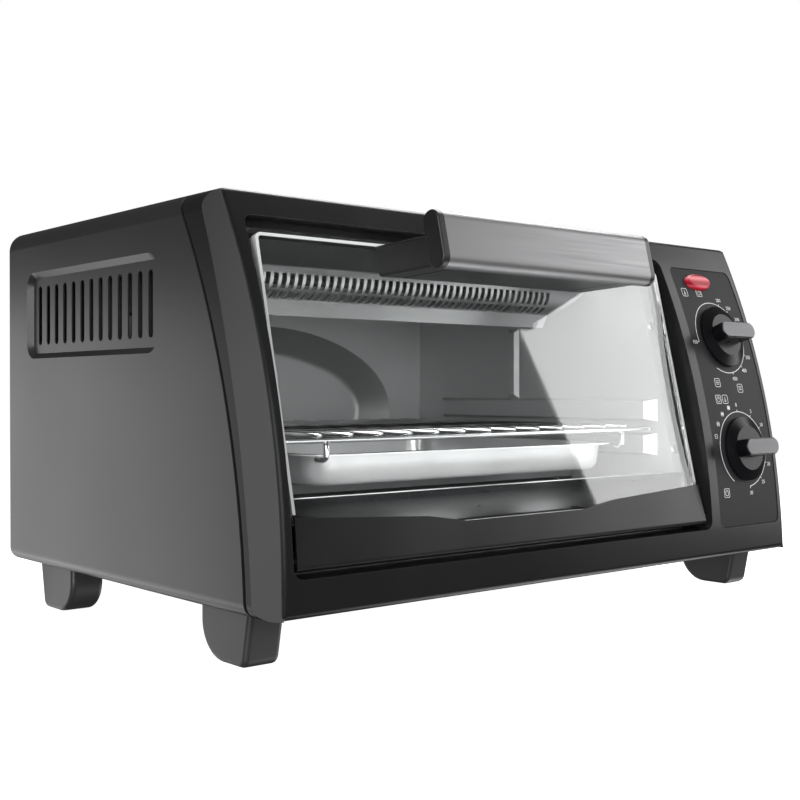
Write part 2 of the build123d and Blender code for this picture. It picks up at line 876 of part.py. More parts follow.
def door_hinge_pins():
    """Two pins that stand out of the ends of the rail."""
    pins = [rod((a, hinge_y, hinge_z), (b, hinge_y, hinge_z), pin_radius) for a, b in pin_ends()]
    return Compound(children=[p.solid() for p in pins])


def hinge_bushes():
    """Collared bushes in the jambs, in which the hinge pins turn."""
    bushes = []
    for side in (-1, 1):
        inner = door_centre + side * opening_width / 2
        seat = inner + side * frame_wall
        tube = rod((inner, hinge_y, hinge_z), (seat, hinge_y, hinge_z), pin_radius + bush_wall)
        end = seat + side * bush_collar
        collar = pin_radius + bush_wall + bush_rim
        tube += rod((seat, hinge_y, hinge_z), (end, hinge_y, hinge_z), collar) & behind_front(frame_wall)
        bushes.append(tube - hinge_bore(pin_radius + running_fit))
    return Compound(children=[b.solid() for b in bushes])


def bar_section():
    """Section of the handle bar: up the door and out of it."""
    shape = RectangleRounded(handle_width, handle_thickness, handle_radius)
    return Pos(bar_low + handle_width / 2, handle_reach + handle_thickness / 2) * shape


def cover_section():
    """Bright skin round the front of the bar."""
    inner = RectangleRounded(
        handle_width - 2 * handle_skin, handle_thickness - 2 * handle_skin, handle_radius - handle_skin
    )
    inner = Pos(bar_low + handle_width / 2, handle_reach + handle_thickness / 2) * inner
    back = bar_front - handle_cover_depth
    rear = Pos(bar_low + handle_width / 2, back - handle_thickness) * Rectangle(
        2 * handle_width, 2 * handle_thickness
    )
    return bar_section() - inner - rear


def along_bar(section, x0, x1):
    """Carry a section of the handle from x0 to x1."""
    side = Plane(origin=(x0, 0, 0), x_dir=(0, 1, 0), z_dir=(1, 0, 0))
    return extrude(side * section, x1 - x0)


def bar_half():
    """Half length of the bar between its caps."""
    return handle_length / 2 - cap_length


def handle_cover():
    """Bright pressed cover along the front of the bar."""
    return in_door(along_bar(cover_section(), -bar_half(), bar_half()))


def handle_core():
    """Dark moulded core of the bar, inside and behind the cover, with its web back to the glass."""
    core = along_bar(bar_section() - cover_section(), -bar_half(), bar_half())
    return in_door(core + handle_web())


def handle_web():
    """Shelf that closes the underside of the handle between the arms."""
    glass_end = door_height - arm_top_margin - arm_height
    out = handle_reach + handle_radius / 2
    bar_end = glass_end - arm_drop * out / handle_reach
    corners = [(glass_end, 0), (glass_end + web_wall, 0), (bar_end + web_wall, out), (bar_end, out)]
    half = arm_middle() - arm_width / 2
    return along_bar(make_face(Polyline(*corners, close=True)), -half, half)


def handle_cap(side):
    """End cap of the bar."""
    cap = along_bar(bar_section(), 0, cap_length)
    cap = fillet(cap.faces().sort_by(Axis.X)[-1].edges(), cap_radius)
    cap = Pos(bar_half(), 0, 0) * cap
    if side < 0:
        cap = mirror(cap, about=Plane.YZ)
    return in_door(cap)


def arm_middle():
    """X of the middle of an arm, from the middle of the door."""
    return handle_length / 2 - arm_end_gap - arm_width / 2


def handle_screw_places():
    """Where the handle's screws pass the glass: across and up the door."""
    y = door_height - arm_top_margin - arm_height / 2
    return [(-arm_middle(), y), (arm_middle(), y)]


def handle_arm(side):
    """Moulded arm from the glass out to the bar, falling a little towards the bar."""
    high = door_height - arm_top_margin
    corners = [
        (high - arm_height, 0),
        (high, 0),
        (high - arm_drop, handle_reach),
        (high - arm_height - arm_drop, handle_reach),
    ]
    arm = along_bar(make_face(Polyline(*corners, close=True)), -arm_width / 2, arm_width / 2)
    long_edges = [e for e in arm.edges() if abs(e.center().Z - handle_reach / 2) < 1]
    arm = fillet(long_edges, arm_radius)
    arm = Pos(side * arm_middle(), 0, 0) * arm
    x, y = handle_screw_places()[0 if side < 0 else 1]
    return in_door(arm - Pos(x, y, 0) * extrude(Circle(screw_radius), screw_bite))


def handle_screws():
    """Screws through the glass into the arms, with their heads inside the oven."""
    screws = []
    for x, y in handle_screw_places():
        shank = extrude(Circle(screw_radius), glass_wall + screw_bite)
        head = extrude(Circle(screw_head_radius), -screw_head_height)
        head = fillet(head.edges().group_by(Axis.Z)[0], screw_head_height / 2)
        screws.append(in_door(Pos(x, y, -glass_wall) * (shank + head)))
    return Compound(children=[s.solid() for s in screws])


# Cavity
def ledge(length, height, depth, slope):
    """Pressed ledge: a block that narrows towards its top, standing on the plane z = 0."""
    base = Rectangle(length, height)
    tip = Pos(0, 0, depth) * Rectangle(length - 2 * depth, height - 2 * slope)
    return loft([base, tip], ruled=True)


def wall_presses():
    """Guides and bead of a side wall: plane coordinates of middle, size and depth."""
    low_top = rack_z - rack_wire - rack_play
    high_bottom = rack_z + rack_wire + guide_headroom
    front = guide_front()
    back = back_y - guide_back_gap
    middle = (front + back) / 2
    length = back - front
    bead_low = high_bottom + guide_height
    bead_y = back_y - bead_from_back
    return [
        (middle, low_top - guide_height / 2, length, guide_height, guide_depth, guide_slope),
        (middle, high_bottom + guide_height / 2, length, guide_height, guide_depth, guide_slope),
        (bead_y, bead_low + bead_height / 2, bead_width, bead_height, bead_depth, bead_depth),
    ]


def guide_front():
    """Y of the front end of the rack guides, just inside the cavity's mouth at rack height."""
    along = up_door(rack_z + guide_height + guide_headroom, -flange_set_back)
    return door_y + along * door_sin + flange_set_back * door_cos + guide_front_gap


def element_places():
    """Name, Y and Z of the four heating elements."""
    first = front_y + upper_element_back
    upper = ceiling_z - upper_element_drop
    lower = floor_z + lower_element_up
    middle = lower_guard_middle()
    return [
        ("upper_front_element", first, upper),
        ("upper_rear_element", first + element_spread, upper),
        ("lower_front_element", middle - lower_guard_width / 4, lower),
        ("lower_rear_element", middle + lower_guard_width / 4, lower),
    ]


def element_bores(radius):
    """Bores along X where the elements pass the side walls."""
    x0 = cavity_left - 2 * element_tail
    x1 = cavity_right + 2 * element_tail
    return Part() + [rod((x0, y, z), (x1, y, z), radius) for _, y, z in element_places()]


def cavity_wall(side):
    """Side wall of the cavity with its front flange, rack guides and bead."""
    inner = cavity_left if side < 0 else cavity_right
    outer = inner + side * sheet
    x0, x1 = sorted((inner, outer))
    wall = span(x0, x1, front_y - body_depth / 4, back_y, floor_z - sheet, ceiling_z + sheet)
    wall &= behind_flange()
    edge = inner - door_centre
    low = up_door(floor_z - sheet, -flange_set_back)
    high = up_door(ceiling_z + sheet, -flange_set_back)
    f0, f1 = sorted((edge, edge + side * flange_width))
    flange = in_door(span(f0, f1, low, high, -flange_set_back - sheet, -flange_set_back))
    wall += flange
    plane = Plane(origin=(inner, 0, 0), x_dir=(0, 1, 0), z_dir=(-side, 0, 0))
    for y, z, length, height, depth, slope in wall_presses():
        press = ledge(length, height, depth, slope)
        turn = 1 if plane.y_dir.Z > 0 else -1
        place = plane.location * Pos(y, turn * z, 0)
        wall = wall + place * press - place * Pos(0, 0, -sheet) * press
    wall -= element_bores(insulator_neck + hole_play)
    for x, y in flange_screw_places(side):
        hole = extrude(Circle(case_screw_radius + hole_play), 2 * flange_set_back)
        wall -= in_door(Pos(x, y, -2 * flange_set_back) * hole)
    return wall


def flange_screw_places(side):
    """Across and up the door, of the screws in a side flange."""
    inner = cavity_left if side < 0 else cavity_right
    x = inner - door_centre + side * flange_screw_inset
    low = up_door(rack_z, -flange_set_back)
    high = up_door(ceiling_z - cavity_height / 4, -flange_set_back)
    return [(x, low - rack_up / 4), (x, high)]


def cavity_flange_screws():
    """Screws that show on the side flanges of the cavity, beside the mouth."""
    screws = []
    for side in (-1, 1):
        for x, y in flange_screw_places(side):
            head = Pos(0, 0, -flange_set_back) * extrude(Circle(flange_screw_head), flange_screw_height)
            head = fillet(head.edges().group_by(Axis.Z)[-1], flange_screw_height / 2)
            shank = extrude(Circle(case_screw_radius), case_screw_length)
            shank = Pos(0, 0, -flange_set_back - case_screw_length) * shank
            screws.append(in_door(Pos(x, y, 0) * (head + shank)))
    return Compound(children=[s.solid() for s in screws])


def cavity_ceiling():
    """Roof of the cavity with its turned-up front flange."""
    plate = span(cavity_left, cavity_right, front_y - body_depth / 4, back_y, ceiling_z, ceiling_z + sheet)
    plate &= behind_flange()
    half = cavity_width / 2
    low = up_door(ceiling_z, -flange_set_back)
    top = up_door(opening_high + frame_wall, -flange_set_back)
    plate += in_door(span(-half, half, low, top, -flange_set_back - sheet, -flange_set_back))
    return plate


def cavity_floor():
    """Floor of the cavity with its turned-down front flange."""
    plate = span(cavity_left, cavity_right, front_y - body_depth / 4, back_y, floor_z - sheet, floor_z)
    plate &= behind_flange()
    half = cavity_width / 2
    top = up_door(floor_z, -flange_set_back) - sheet / 2
    low = up_door(opening_low - frame_wall, -flange_set_back)
    plate += in_door(span(-half, half, low, top, -flange_set_back - sheet, -flange_set_back))
    return plate


def cavity_back_wall():
    """Back wall with the oval bulge that makes room for a round pan."""
    plate = span(
        cavity_left - sheet, cavity_right + sheet, back_y, back_y + sheet, floor_z - sheet, ceiling_z + sheet
    )
    place = Pos(door_centre, back_y, bulge_z)
    dish = place * Pos(0, sheet, 0) * bulge(bulge_width, bulge_height, bulge_depth)
    hollow = place * bulge(bulge_width, bulge_height, bulge_depth)
    return plate + dish - hollow


# Heating
def heating_element(y, z):
    """Straight sheathed heater that reaches through both side walls."""
    x0 = cavity_left - element_tail
    x1 = cavity_right + element_tail
    return rod((x0, y, z), (x1, y, z), element_radius)


def element_insulators():
    """Ceramic bushes that carry the heaters in the side walls."""
    bushes = []
    for _, y, z in element_places():
        for side, inner in ((-1, cavity_left), (1, cavity_right)):
            flange = rod((inner - side * insulator_flange, y, z), (inner, y, z), insulator_radius)
            neck = rod((inner, y, z), (inner + side * insulator_tail, y, z), insulator_neck)
            bush = flange + neck - element_bores(element_radius + running_fit)
            bushes.append(bush)
    return Compound(children=[b.solid() for b in bushes])


def guard_bends():
    """Y of the guard's face and lip, then Z of its knee, of the top of its round and of its lowest line."""
    y = front_y + guard_front
    knee = ceiling_z - upper_guard_knee
    hub = knee - upper_guard_face
    return y, y + upper_guard_round, knee, hub, hub - upper_guard_round


def guard_ring(angles, grow):
    """Part of the guard's round between two angles, seen from the side, thickened both ways."""
    start, end = [radians(angle) for angle in angles]
    reach = 4 * upper_guard_round
    wedge = [
        (0, 0),
        (-reach * cos(start), -reach * sin(start)),
        (-reach * cos(end), -reach * sin(end)),
    ]
    ring = Circle(upper_guard_round + grow) - Circle(upper_guard_round - grow)
    _, back, _, hub, _ = guard_bends()
    return Pos(back, hub) * (ring & make_face(Polyline(*wedge, close=True)))


def upper_element_guard():
    """Sheet across the cavity that hides the upper heaters: flange, slotted round face and lip."""
    y, back, knee, hub, low = guard_bends()
    top = ceiling_z - sheet / 2
    bend = y - upper_guard_lean
    profile = trace(Polyline((bend - guard_flange, top), (bend, top), (y, knee), (y, hub)), sheet)
    profile += guard_ring((0, 90), sheet / 2)
    profile += trace(Line((back, low), (back, low - upper_guard_lip)), sheet)
    half = cavity_width / 2 - slack
    guard = extrude(Plane.YZ.offset(-half) * profile, 2 * half)
    middle = Plane.YZ.offset(-guard_slot_width / 2)
    for angles in (guard_long_slot, guard_short_slot):
        slot = extrude(middle * guard_ring(angles, 2 * sheet), guard_slot_width)
        guard -= [place * slot for place in GridLocations(guard_slot_pitch, 1, guard_slots, 1)]
    end = [
        (half, knee),
        (half - upper_guard_inset, low),
        (half - upper_guard_inset - upper_lip_inset, low - upper_guard_lip - sheet),
        (2 * half, low - upper_guard_lip - sheet),
        (2 * half, knee),
    ]
    corner = front_view(make_face(Polyline(*end, close=True)), y - sheet, back + sheet)
    return Pos(door_centre, 0, 0) * (guard - both_sides(corner))


def lower_guard_middle():
    """Y of the middle of the lower guard."""
    return front_y + lower_guard_back


def lower_element_guard():
    """Shallow channel over the lower heaters, pierced along its front edge, standing on end feet."""
    half = cavity_width / 2 - slack
    middle = lower_guard_middle()
    top = floor_z + lower_guard_up
    y0 = middle - lower_guard_width / 2
    y1 = middle + lower_guard_width / 2
    channel = span(-half, half, y0, y1, top - lower_guard_lip, top)
    channel -= span(-half - 1, half + 1, y0 + sheet, y1 - sheet, top - 2 * lower_guard_lip, top - sheet)
    for side in (-1, 1):
        inner = side * (half - sheet)
        x0, x1 = sorted((inner, side * half))
        wing = span(x0, x1, y0, y1, floor_z, top)
        channel += wing
        g0, g1 = sorted((side * (half - lower_guard_foot), side * half))
        channel += span(g0, g1, y0, y1, floor_z, floor_z + sheet)
    holes = in_row(Circle(lower_guard_hole), 2 * half / lower_guard_holes, lower_guard_holes - 1)
    channel -= extrude(Pos(0, y0 + 4 * lower_guard_hole, top - 2 * sheet) * holes, 4 * sheet)
    guard = Pos(door_centre, 0, 0) * channel
    return guard - element_bores(insulator_radius + 2 * slack)


# Crumb tray
def crumb_tray():
    """Shallow tray on the cavity floor with a leaning front lip to pull it by."""
    half = cavity_width / 2 - tray_side_gap - lower_guard_foot
    back = back_y - tray_back_gap
    tray = span(-half, half, front_y - body_depth / 4, back, floor_z, floor_z + tray_rim)
    inner = half - sheet
    tray -= span(-inner, inner, front_y - body_depth / 3, back - sheet, floor_z + sheet, ceiling_z)
    tray = Pos(door_centre, 0, 0) * tray
    far = 2 * body_depth
    tray &= in_door(span(-body_width, body_width, -far, far, -far, -tray_front_set_back))
    low = up_door(floor_z, -tray_front_set_back - sheet)
    lip = span(-half, half, low, low + tray_lip, -tray_front_set_back - sheet, -tray_front_set_back)
    return tray + in_door(lip)


# Rack and pan
def rack_extent():
    """Front, back and half width of the rack at its wire centres."""
    front = front_y + rack_front
    back = back_y - rack_back_gap
    half = cavity_width / 2 - rack_wire - rack_side_gap
    return front, back, half


def hook_bars():
    """Y of the two cross bars that carry the pan hooks."""
    front, back, _ = rack_extent()
    return front + hook_bar_inset, back - hook_bar_back


def wire_rack():
    """Wire loop with cross bars below and thin rods on top, welded together."""
    front, back, half = rack_extent()
    corners = [(-half, front, rack_z), (half, front, rack_z), (half, back, rack_z), (-half, back, rack_z)]
    loop = FilletPolyline(*corners, radius=rack_corner, close=True)
    rack = sweep((loop ^ 0) * Circle(rack_wire), loop)
    for y in hook_bars():
        rack += rod((-half, y, rack_z), (half, y, rack_z), rack_wire)
    rod_z = rack_z + rack_wire + 0.8 * rack_rod
    pitch = (cavity_width - 2 * rack_rod_margin) / (rack_rods - 1)
    for place in GridLocations(pitch, 1, rack_rods, 1):
        x = place.position.X
        rack += rod((x, front - rack_wire, rod_z), (x, back + rack_wire, rod_z), rack_rod)
    return Pos(door_centre, 0, 0) * rack


def rack_pan_hooks():
    """Bent wires below the rack that hold the rim of the pan."""
    hooks = []
    high = rack_z - rack_wire
    low = high - hook_drop
    x = hook_spread / 2
    for side in (-1, 1):
        for y in hook_bars():
            foot_x = side * (x - hook_reach)
            path = FilletPolyline(
                (side * x, y, high), (side * x, y, low), (foot_x, y, low), radius=2 * hook_wire
            )
            hooks.append(Pos(door_centre, 0, 0) * sweep((path ^ 0) * Circle(hook_wire), path))
    return Compound(children=[h.solid() for h in hooks])


def pan_rim_z():
    """Height of the underside of the pan's rim, resting on the hooks."""
    return rack_z - rack_wire - hook_drop + hook_wire


def baking_pan():
    """Shallow pan with sloping sides, rounded corners and a flat rim."""
    low = pan_rim_z() - pan_depth
    front = rack_extent()[0] + pan_front_gap
    pan_length = back_y - pan_back_gap - front
    wide = pan_width - 2 * pan_rim
    deep = pan_length - 2 * pan_rim
    body = extrude(RectangleRounded(wide, deep, pan_corner), -pan_depth - sheet, taper=8)
    body = fillet(body.edges().group_by(Axis.Z)[0], pan_floor_radius)
    hollow = Pos(0, 0, sheet) * body
    rim = Pos(0, 0, -sheet) * extrude(RectangleRounded(pan_width, pan_length, pan_corner + pan_rim), sheet)
    pan = rim + body - hollow
    return Pos(door_centre, front + pan_length / 2, low + pan_depth + sheet) * pan


def build():
    """All pieces by name."""
    pieces = {
        "outer_wrapper": outer_wrapper(),
        "rear_panel": rear_panel(),
        "base_plate": base_plate(),
        "front_frame": front_frame(),
        "control_fascia": control_fascia(),
        "indicator_lens": indicator_lens(),
        "indicator_lamp": indicator_lamp(),
        "cavity_left_wall": cavity_wall(-1),
        "cavity_right_wall": cavity_wall(1),
        "cavity_ceiling": cavity_ceiling(),
        "cavity_floor": cavity_floor(),
        "cavity_back_wall": cavity_back_wall(),
        "cavity_flange_screws": cavity_flange_screws(),
        "upper_element_guard": upper_element_guard(),
        "lower_element_guard": lower_element_guard(),
        "element_insulators": element_insulators(),
        "crumb_tray": crumb_tray(),
        "foot_screws": foot_screws(),
        "rear_panel_screws": rear_panel_screws(),
        "cord_gland": cord_gland(),
        "hinge_bushes": hinge_bushes(),
        "door_glass": door_glass(),
        "door_lower_rail": door_lower_rail(),
        "door_hinge_pins": door_hinge_pins(),
        "handle_cover": handle_cover(),
        "handle_core": handle_core(),
        "handle_cap_left": handle_cap(-1),
        "handle_cap_right": handle_cap(1),
        "handle_arm_left": handle_arm(-1),
        "handle_arm_right": handle_arm(1),
        "handle_screws": handle_screws(),
        "wire_rack": wire_rack(),
        "rack_pan_hooks": rack_pan_hooks(),
        "baking_pan": baking_pan(),
    }
    for name, x, y, outward in foot_places():
        pieces[name] = foot(x, y, outward)
    for name, y, z in element_places():
        pieces[name] = heating_element(y, z)
    nuts = []
    for name, plane in control_places():
        place = plane.location
        pieces[f"{name}_knob"] = place * knob()
        pieces[f"{name}_knob_insert"] = place * knob_insert()
        pieces[f"{name}_shaft"] = place * control_shaft(shaft_depth())
        nuts.append((place * control_nut()).solid())
    temperature, timer = [plane.location for _, plane in control_places()]
    pieces["thermostat_body"] = temperature * control_housing(thermostat_block())
    pieces["timer_body"] = timer * control_housing(timer_drum())
    pieces["timer_bell"] = timer * timer_bell()
    pieces["control_nuts"] = Compound(children=nuts)
    return pieces


os.makedirs("parts", exist_ok=True)
for piece_name, piece in build().items():
    export_step(piece, f"parts/{piece_name}.step")
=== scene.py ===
"""Looks of a compact toaster oven: finishes, rack wires, tray lip, glass edge, dial print and stage.

Metres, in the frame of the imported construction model. +X is to the right of someone facing the oven, +Y
goes to the back and +Z is up.
"""
import json
import math

import bpy
import numpy as np
from bpy.props import FloatProperty, FloatVectorProperty, IntProperty, PointerProperty
from bpy.types import Operator, Panel, PropertyGroup
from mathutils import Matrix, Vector


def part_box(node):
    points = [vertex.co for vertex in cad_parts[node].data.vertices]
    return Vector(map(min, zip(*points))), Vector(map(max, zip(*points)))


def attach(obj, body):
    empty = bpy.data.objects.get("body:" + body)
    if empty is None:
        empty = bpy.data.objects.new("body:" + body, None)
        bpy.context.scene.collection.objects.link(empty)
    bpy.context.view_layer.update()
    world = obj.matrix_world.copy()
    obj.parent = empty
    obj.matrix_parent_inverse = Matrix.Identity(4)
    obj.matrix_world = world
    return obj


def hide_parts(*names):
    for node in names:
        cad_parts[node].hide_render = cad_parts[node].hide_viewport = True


bl_info = {
    "name": "Toaster Oven Looks",
    "version": (1, 0, 0),
    "blender": (4, 5, 0),
    "location": "3D View > Sidebar > Oven",
    "description": "Finishes, fine pieces and studio stage of a compact toaster oven",
    "category": "Object",
}

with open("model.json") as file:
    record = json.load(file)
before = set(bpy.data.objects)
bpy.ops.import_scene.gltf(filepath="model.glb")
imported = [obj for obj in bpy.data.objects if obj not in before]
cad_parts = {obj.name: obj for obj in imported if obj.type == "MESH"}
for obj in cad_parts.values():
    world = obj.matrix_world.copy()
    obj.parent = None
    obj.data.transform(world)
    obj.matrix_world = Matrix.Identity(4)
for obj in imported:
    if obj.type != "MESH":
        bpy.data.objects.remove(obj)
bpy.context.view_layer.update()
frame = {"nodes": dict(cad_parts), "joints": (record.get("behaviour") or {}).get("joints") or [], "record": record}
RECORD = frame["record"]
JOINTS = {joint["name"]: joint for joint in frame["joints"]}
MM = 0.001


# Curve of the front, worked out from the two controls that stand square to it
def front_curve():
    """Radius and centre of the front face seen from the side.

    Both control axes point at the centre, so radius = |p1 - p2| / |a2 - a1| and centre = p + radius * a.
    """
    upper, lower = JOINTS["temperature_turn"], JOINTS["timer_turn"]
    p1, p2 = np.array(upper["pos_m"]), np.array(lower["pos_m"])
    a1, a2 = np.array(upper["axis"]), np.array(lower["axis"])
    radius = np.linalg.norm(p1 - p2) / np.linalg.norm(a2 - a1)
    return radius, (p1 + radius * a1)[1:]


FRONT_RADIUS, FRONT_CENTRE = front_curve()


def turn_at(joint):
    """Angle round the front curve at which a control stands."""
    return math.asin((JOINTS[joint]["pos_m"][2] - FRONT_CENTRE[1]) / FRONT_RADIUS)


def on_front(across, up, lift, joint):
    """Points on the front curve about a control, as an array of x, y and z.

    x = control + across. t = control's angle + up / R. y = cy - r cos t and z = cz + r sin t, with
    r = R + lift.
    """
    angle = turn_at(joint) + up / FRONT_RADIUS
    radius = FRONT_RADIUS + lift
    x = JOINTS[joint]["pos_m"][0] + across
    y = FRONT_CENTRE[0] - radius * np.cos(angle)
    z = FRONT_CENTRE[1] + radius * np.sin(angle)
    return np.stack([x, y, z], axis=-1)


# Settings
class OvenFinishSettings(PropertyGroup):
    """Colours of the oven's finishes."""

    casing: FloatVectorProperty(
        name="Casing",
        description="Satin paint of the wrapper",
        subtype="COLOR",
        default=(0.022, 0.022, 0.023),
    )
    moulding: FloatVectorProperty(
        name="Moulding", description="Black front frame", subtype="COLOR", default=(0.012, 0.012, 0.013)
    )
    fascia: FloatVectorProperty(
        name="Fascia", description="Satin control plate", subtype="COLOR", default=(0.034, 0.034, 0.036)
    )
    print_ink: FloatVectorProperty(
        name="Print", description="Ink of the dial print", subtype="COLOR", default=(0.82, 0.82, 0.82)
    )
    silver: FloatVectorProperty(
        name="Handle",
        description="Brushed cover of the handle",
        subtype="COLOR",
        default=(0.27, 0.27, 0.275),
    )
    cavity: FloatVectorProperty(
        name="Cavity",
        description="Aluminised sheet of the cavity",
        subtype="COLOR",
        default=(0.46, 0.46, 0.465),
    )


class OvenPrintSettings(PropertyGroup):
    """Sizes of the print on the control fascia."""

    sunk: FloatProperty(
        name="Fascia depth", description="Fascia below the front face", default=0.4 * MM, unit="LENGTH"
    )
    ink: FloatProperty(name="Ink", description="Thickness of the print", default=0.06 * MM, unit="LENGTH")
    line: FloatProperty(name="Line", description="Width of a printed line", default=0.45 * MM, unit="LENGTH")
    ring: FloatProperty(name="Ring", description="Radius of a dial ring", default=23.2 * MM, unit="LENGTH")
    tick: FloatProperty(name="Tick", description="Length of a tick", default=1.3 * MM, unit="LENGTH")
    number: FloatProperty(name="Number", description="Height of the numbers", default=2.3 * MM, unit="LENGTH")
    number_gap: FloatProperty(
        name="Number gap", description="Numbers beyond their ring", default=4.2 * MM, unit="LENGTH"
    )
    sign: FloatProperty(name="Sign", description="Half size of a pictogram", default=2.6 * MM, unit="LENGTH")
    segments: IntProperty(name="Segments", description="Steps along a dial ring", default=96, min=16)


class OvenDoorSettings(PropertyGroup):
    """Sizes of the pale strip round the edge of the glass, a painted highlight for its bright edge."""

    glass_corner: FloatProperty(
        name="Corner", description="Rounded corner of the glass", default=3.0 * MM, unit="LENGTH"
    )
    edge_start: FloatProperty(
        name="Start", description="Painted highlight strip above the foot of the glass", default=16.0 * MM, unit="LENGTH"
    )
    edge_gap: FloatProperty(
        name="Gap", description="Painted highlight strip off the glass", default=0.02 * MM, unit="LENGTH"
    )
    edge_wall: FloatProperty(
        name="Thickness", description="Thickness of the painted highlight strip", default=0.15 * MM, unit="LENGTH"
    )
    arris: FloatProperty(
        name="Arris", description="Painted highlight strip on the front face", default=1.4 * MM, unit="LENGTH"
    )


class OvenRackSettings(PropertyGroup):
    """Sizes of the wire rack, its hooks and the lip of the crumb tray."""

    solid_wire: FloatProperty(
        name="Solid wire", description="Wire radius of the rack's solid", default=2.2 * MM, unit="LENGTH"
    )
    wire: FloatProperty(name="Wire", description="Radius of the loop's wire", default=1.4 * MM, unit="LENGTH")
    rod: FloatProperty(name="Rod", description="Radius of a thin rod", default=1.25 * MM, unit="LENGTH")
    rods: IntProperty(name="Rods", description="Number of thin rods", default=13, min=2)
    rod_margin: FloatProperty(
        name="Rod margin", description="First rod inside the loop", default=26.7 * MM, unit="LENGTH"
    )
    corner: FloatProperty(name="Corner", description="Bend of the loop", default=8.0 * MM, unit="LENGTH")
    hook_inset: FloatProperty(
        name="Hook inset", description="Hooks inside the loop", default=30.2 * MM, unit="LENGTH"
    )
    hook_grip: FloatProperty(
        name="Hook grip", description="Foot of a hook under the rim", default=5.0 * MM, unit="LENGTH"
    )
    bar_gap: FloatProperty(
        name="Bar gap", description="Rear hook bar behind the pan", default=3.6 * MM, unit="LENGTH"
    )
    rim: FloatProperty(name="Rim", description="Sheet of the pan's rim", default=0.9 * MM, unit="LENGTH")
    lip_top: FloatProperty(
        name="Lip top", description="Height of the tray's lip", default=74.2 * MM, unit="LENGTH"
    )
    lip_flare: FloatProperty(
        name="Lip flare", description="Top of the lip ahead of its foot", default=4.5 * MM, unit="LENGTH"
    )
    lip_gap: FloatProperty(
        name="Lip gap", description="Lip inside the cavity walls", default=2.0 * MM, unit="LENGTH"
    )
    lip_wall: FloatProperty(
        name="Lip sheet", description="Thickness of the lip", default=0.6 * MM, unit="LENGTH"
    )


class OvenStageSettings(PropertyGroup):
    """Camera and lamps of the studio."""

    lens: FloatProperty(name="Lens", description="Focal length on a 36 mm sensor", default=54.43, min=1)
    place: FloatVectorProperty(
        name="Camera",
        description="Place of the camera",
        subtype="TRANSLATION",
        default=(-0.4856, -0.5581, 0.1237),
    )
    yaw: FloatProperty(
        name="Yaw",
        description="Turn of the view from straight ahead",
        subtype="ANGLE",
        default=math.radians(40.378),
    )
    pitch: FloatProperty(
        name="Pitch", description="Tilt of the view", subtype="ANGLE", default=math.radians(-0.443)
    )
    ambient: FloatProperty(name="Ambient", description="Even light of the room", default=0.08, min=0)


# Meshes
def new_piece(name, verts, faces, material, body, slot, smooth=False):
    """Mesh object of a new piece, riding on a body of the oven."""
    mesh = bpy.data.meshes.new(name)
    mesh.from_pydata(verts.tolist(), [], faces)
    mesh.update()
    mesh.materials.append(material)
    mesh.polygons.foreach_set("use_smooth", np.full(len(mesh.polygons), smooth))
    piece = bpy.data.objects.new(name, mesh)
    bpy.context.scene.collection.objects.link(piece)
    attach(piece, body)
    return piece


def joined(shapes):
    """Vertices and faces of several shapes as one."""
    verts, faces, start = [], [], 0
    for points, polygons in shapes:
        verts.append(points)
        faces += [[index + start for index in polygon] for polygon in polygons]
        start += len(points)
    return np.concatenate(verts), faces


def mesh_points(mesh):
    """Vertices of a mesh as rows of x, y and z."""
    points = np.empty(3 * len(mesh.vertices))
    mesh.vertices.foreach_get("co", points)
    return points.reshape(-1, 3)


def tangents(path, closed=False):
    """Unit direction of a path at each point, taken between the points before and after it."""
    if closed:
        along = np.roll(path, -1, axis=0) - np.roll(path, 1, axis=0)
    else:
        along = np.gradient(path, axis=0)
    return along / np.linalg.norm(along, axis=1, keepdims=True)


def sideways(path, closed=False):
    """Unit normal of a flat path of two columns: its tangent turned by a quarter."""
    along = tangents(path, closed)
    return np.stack([-along[:, 1], along[:, 0]], axis=-1)


def tube_faces(rows, corners, closed=False):
    """Faces of a section carried along a path: quads all round, and a cap at both ends if it is open.

    Points are numbered row by row, and the section runs the way that makes section x path point outwards.
    """
    row = np.arange(rows if closed else rows - 1)[:, None]
    corner = np.arange(corners)[None, :]
    ahead, after = (row + 1) % rows * corners, (corner + 1) % corners
    row = row * corners
    quads = np.stack([row + corner, row + after, ahead + after, ahead + corner], axis=-1)
    faces = quads.reshape(-1, 4).tolist()
    if not closed:
        first = np.arange(corners)
        faces += [first[::-1].tolist(), (first + corners * (rows - 1)).tolist()]
    return faces


# Shared shader groups
def new_group(name, inputs, outputs):
    """Shader node group with named sockets; returns the tree and its two end nodes."""
    tree = bpy.data.node_groups.new(name, "ShaderNodeTree")
    for label, value in inputs:
        socket = tree.interface.new_socket(label, in_out="INPUT", socket_type="NodeSocketFloat")
        socket.default_value = value
    for label in outputs:
        tree.interface.new_socket(label, in_out="OUTPUT", socket_type="NodeSocketFloat")
    return tree, tree.nodes.new("NodeGroupInput"), tree.nodes.new("NodeGroupOutput")


def surface_group():
    """Fine grain and broad patches, both from noise on Object coordinates."""
    tree, start, end = new_group(
        "Surface Variation", [("Grain Scale", 2000.0), ("Patch Scale", 14.0)], ["Grain", "Patches"]
    )
    place = tree.nodes.new("ShaderNodeTexCoord")
    for label, detail in (("Grain", 2.0), ("Patches", 5.0)):
        noise = tree.nodes.new("ShaderNodeTexNoise")
        noise.inputs["Detail"].default_value = detail
        tree.links.new(place.outputs["Object"], noise.inputs["Vector"])
        scale = "Grain Scale" if label == "Grain" else "Patch Scale"
        tree.links.new(start.outputs[scale], noise.inputs["Scale"])
        tree.links.new(noise.outputs["Fac"], end.inputs[label])
    return tree


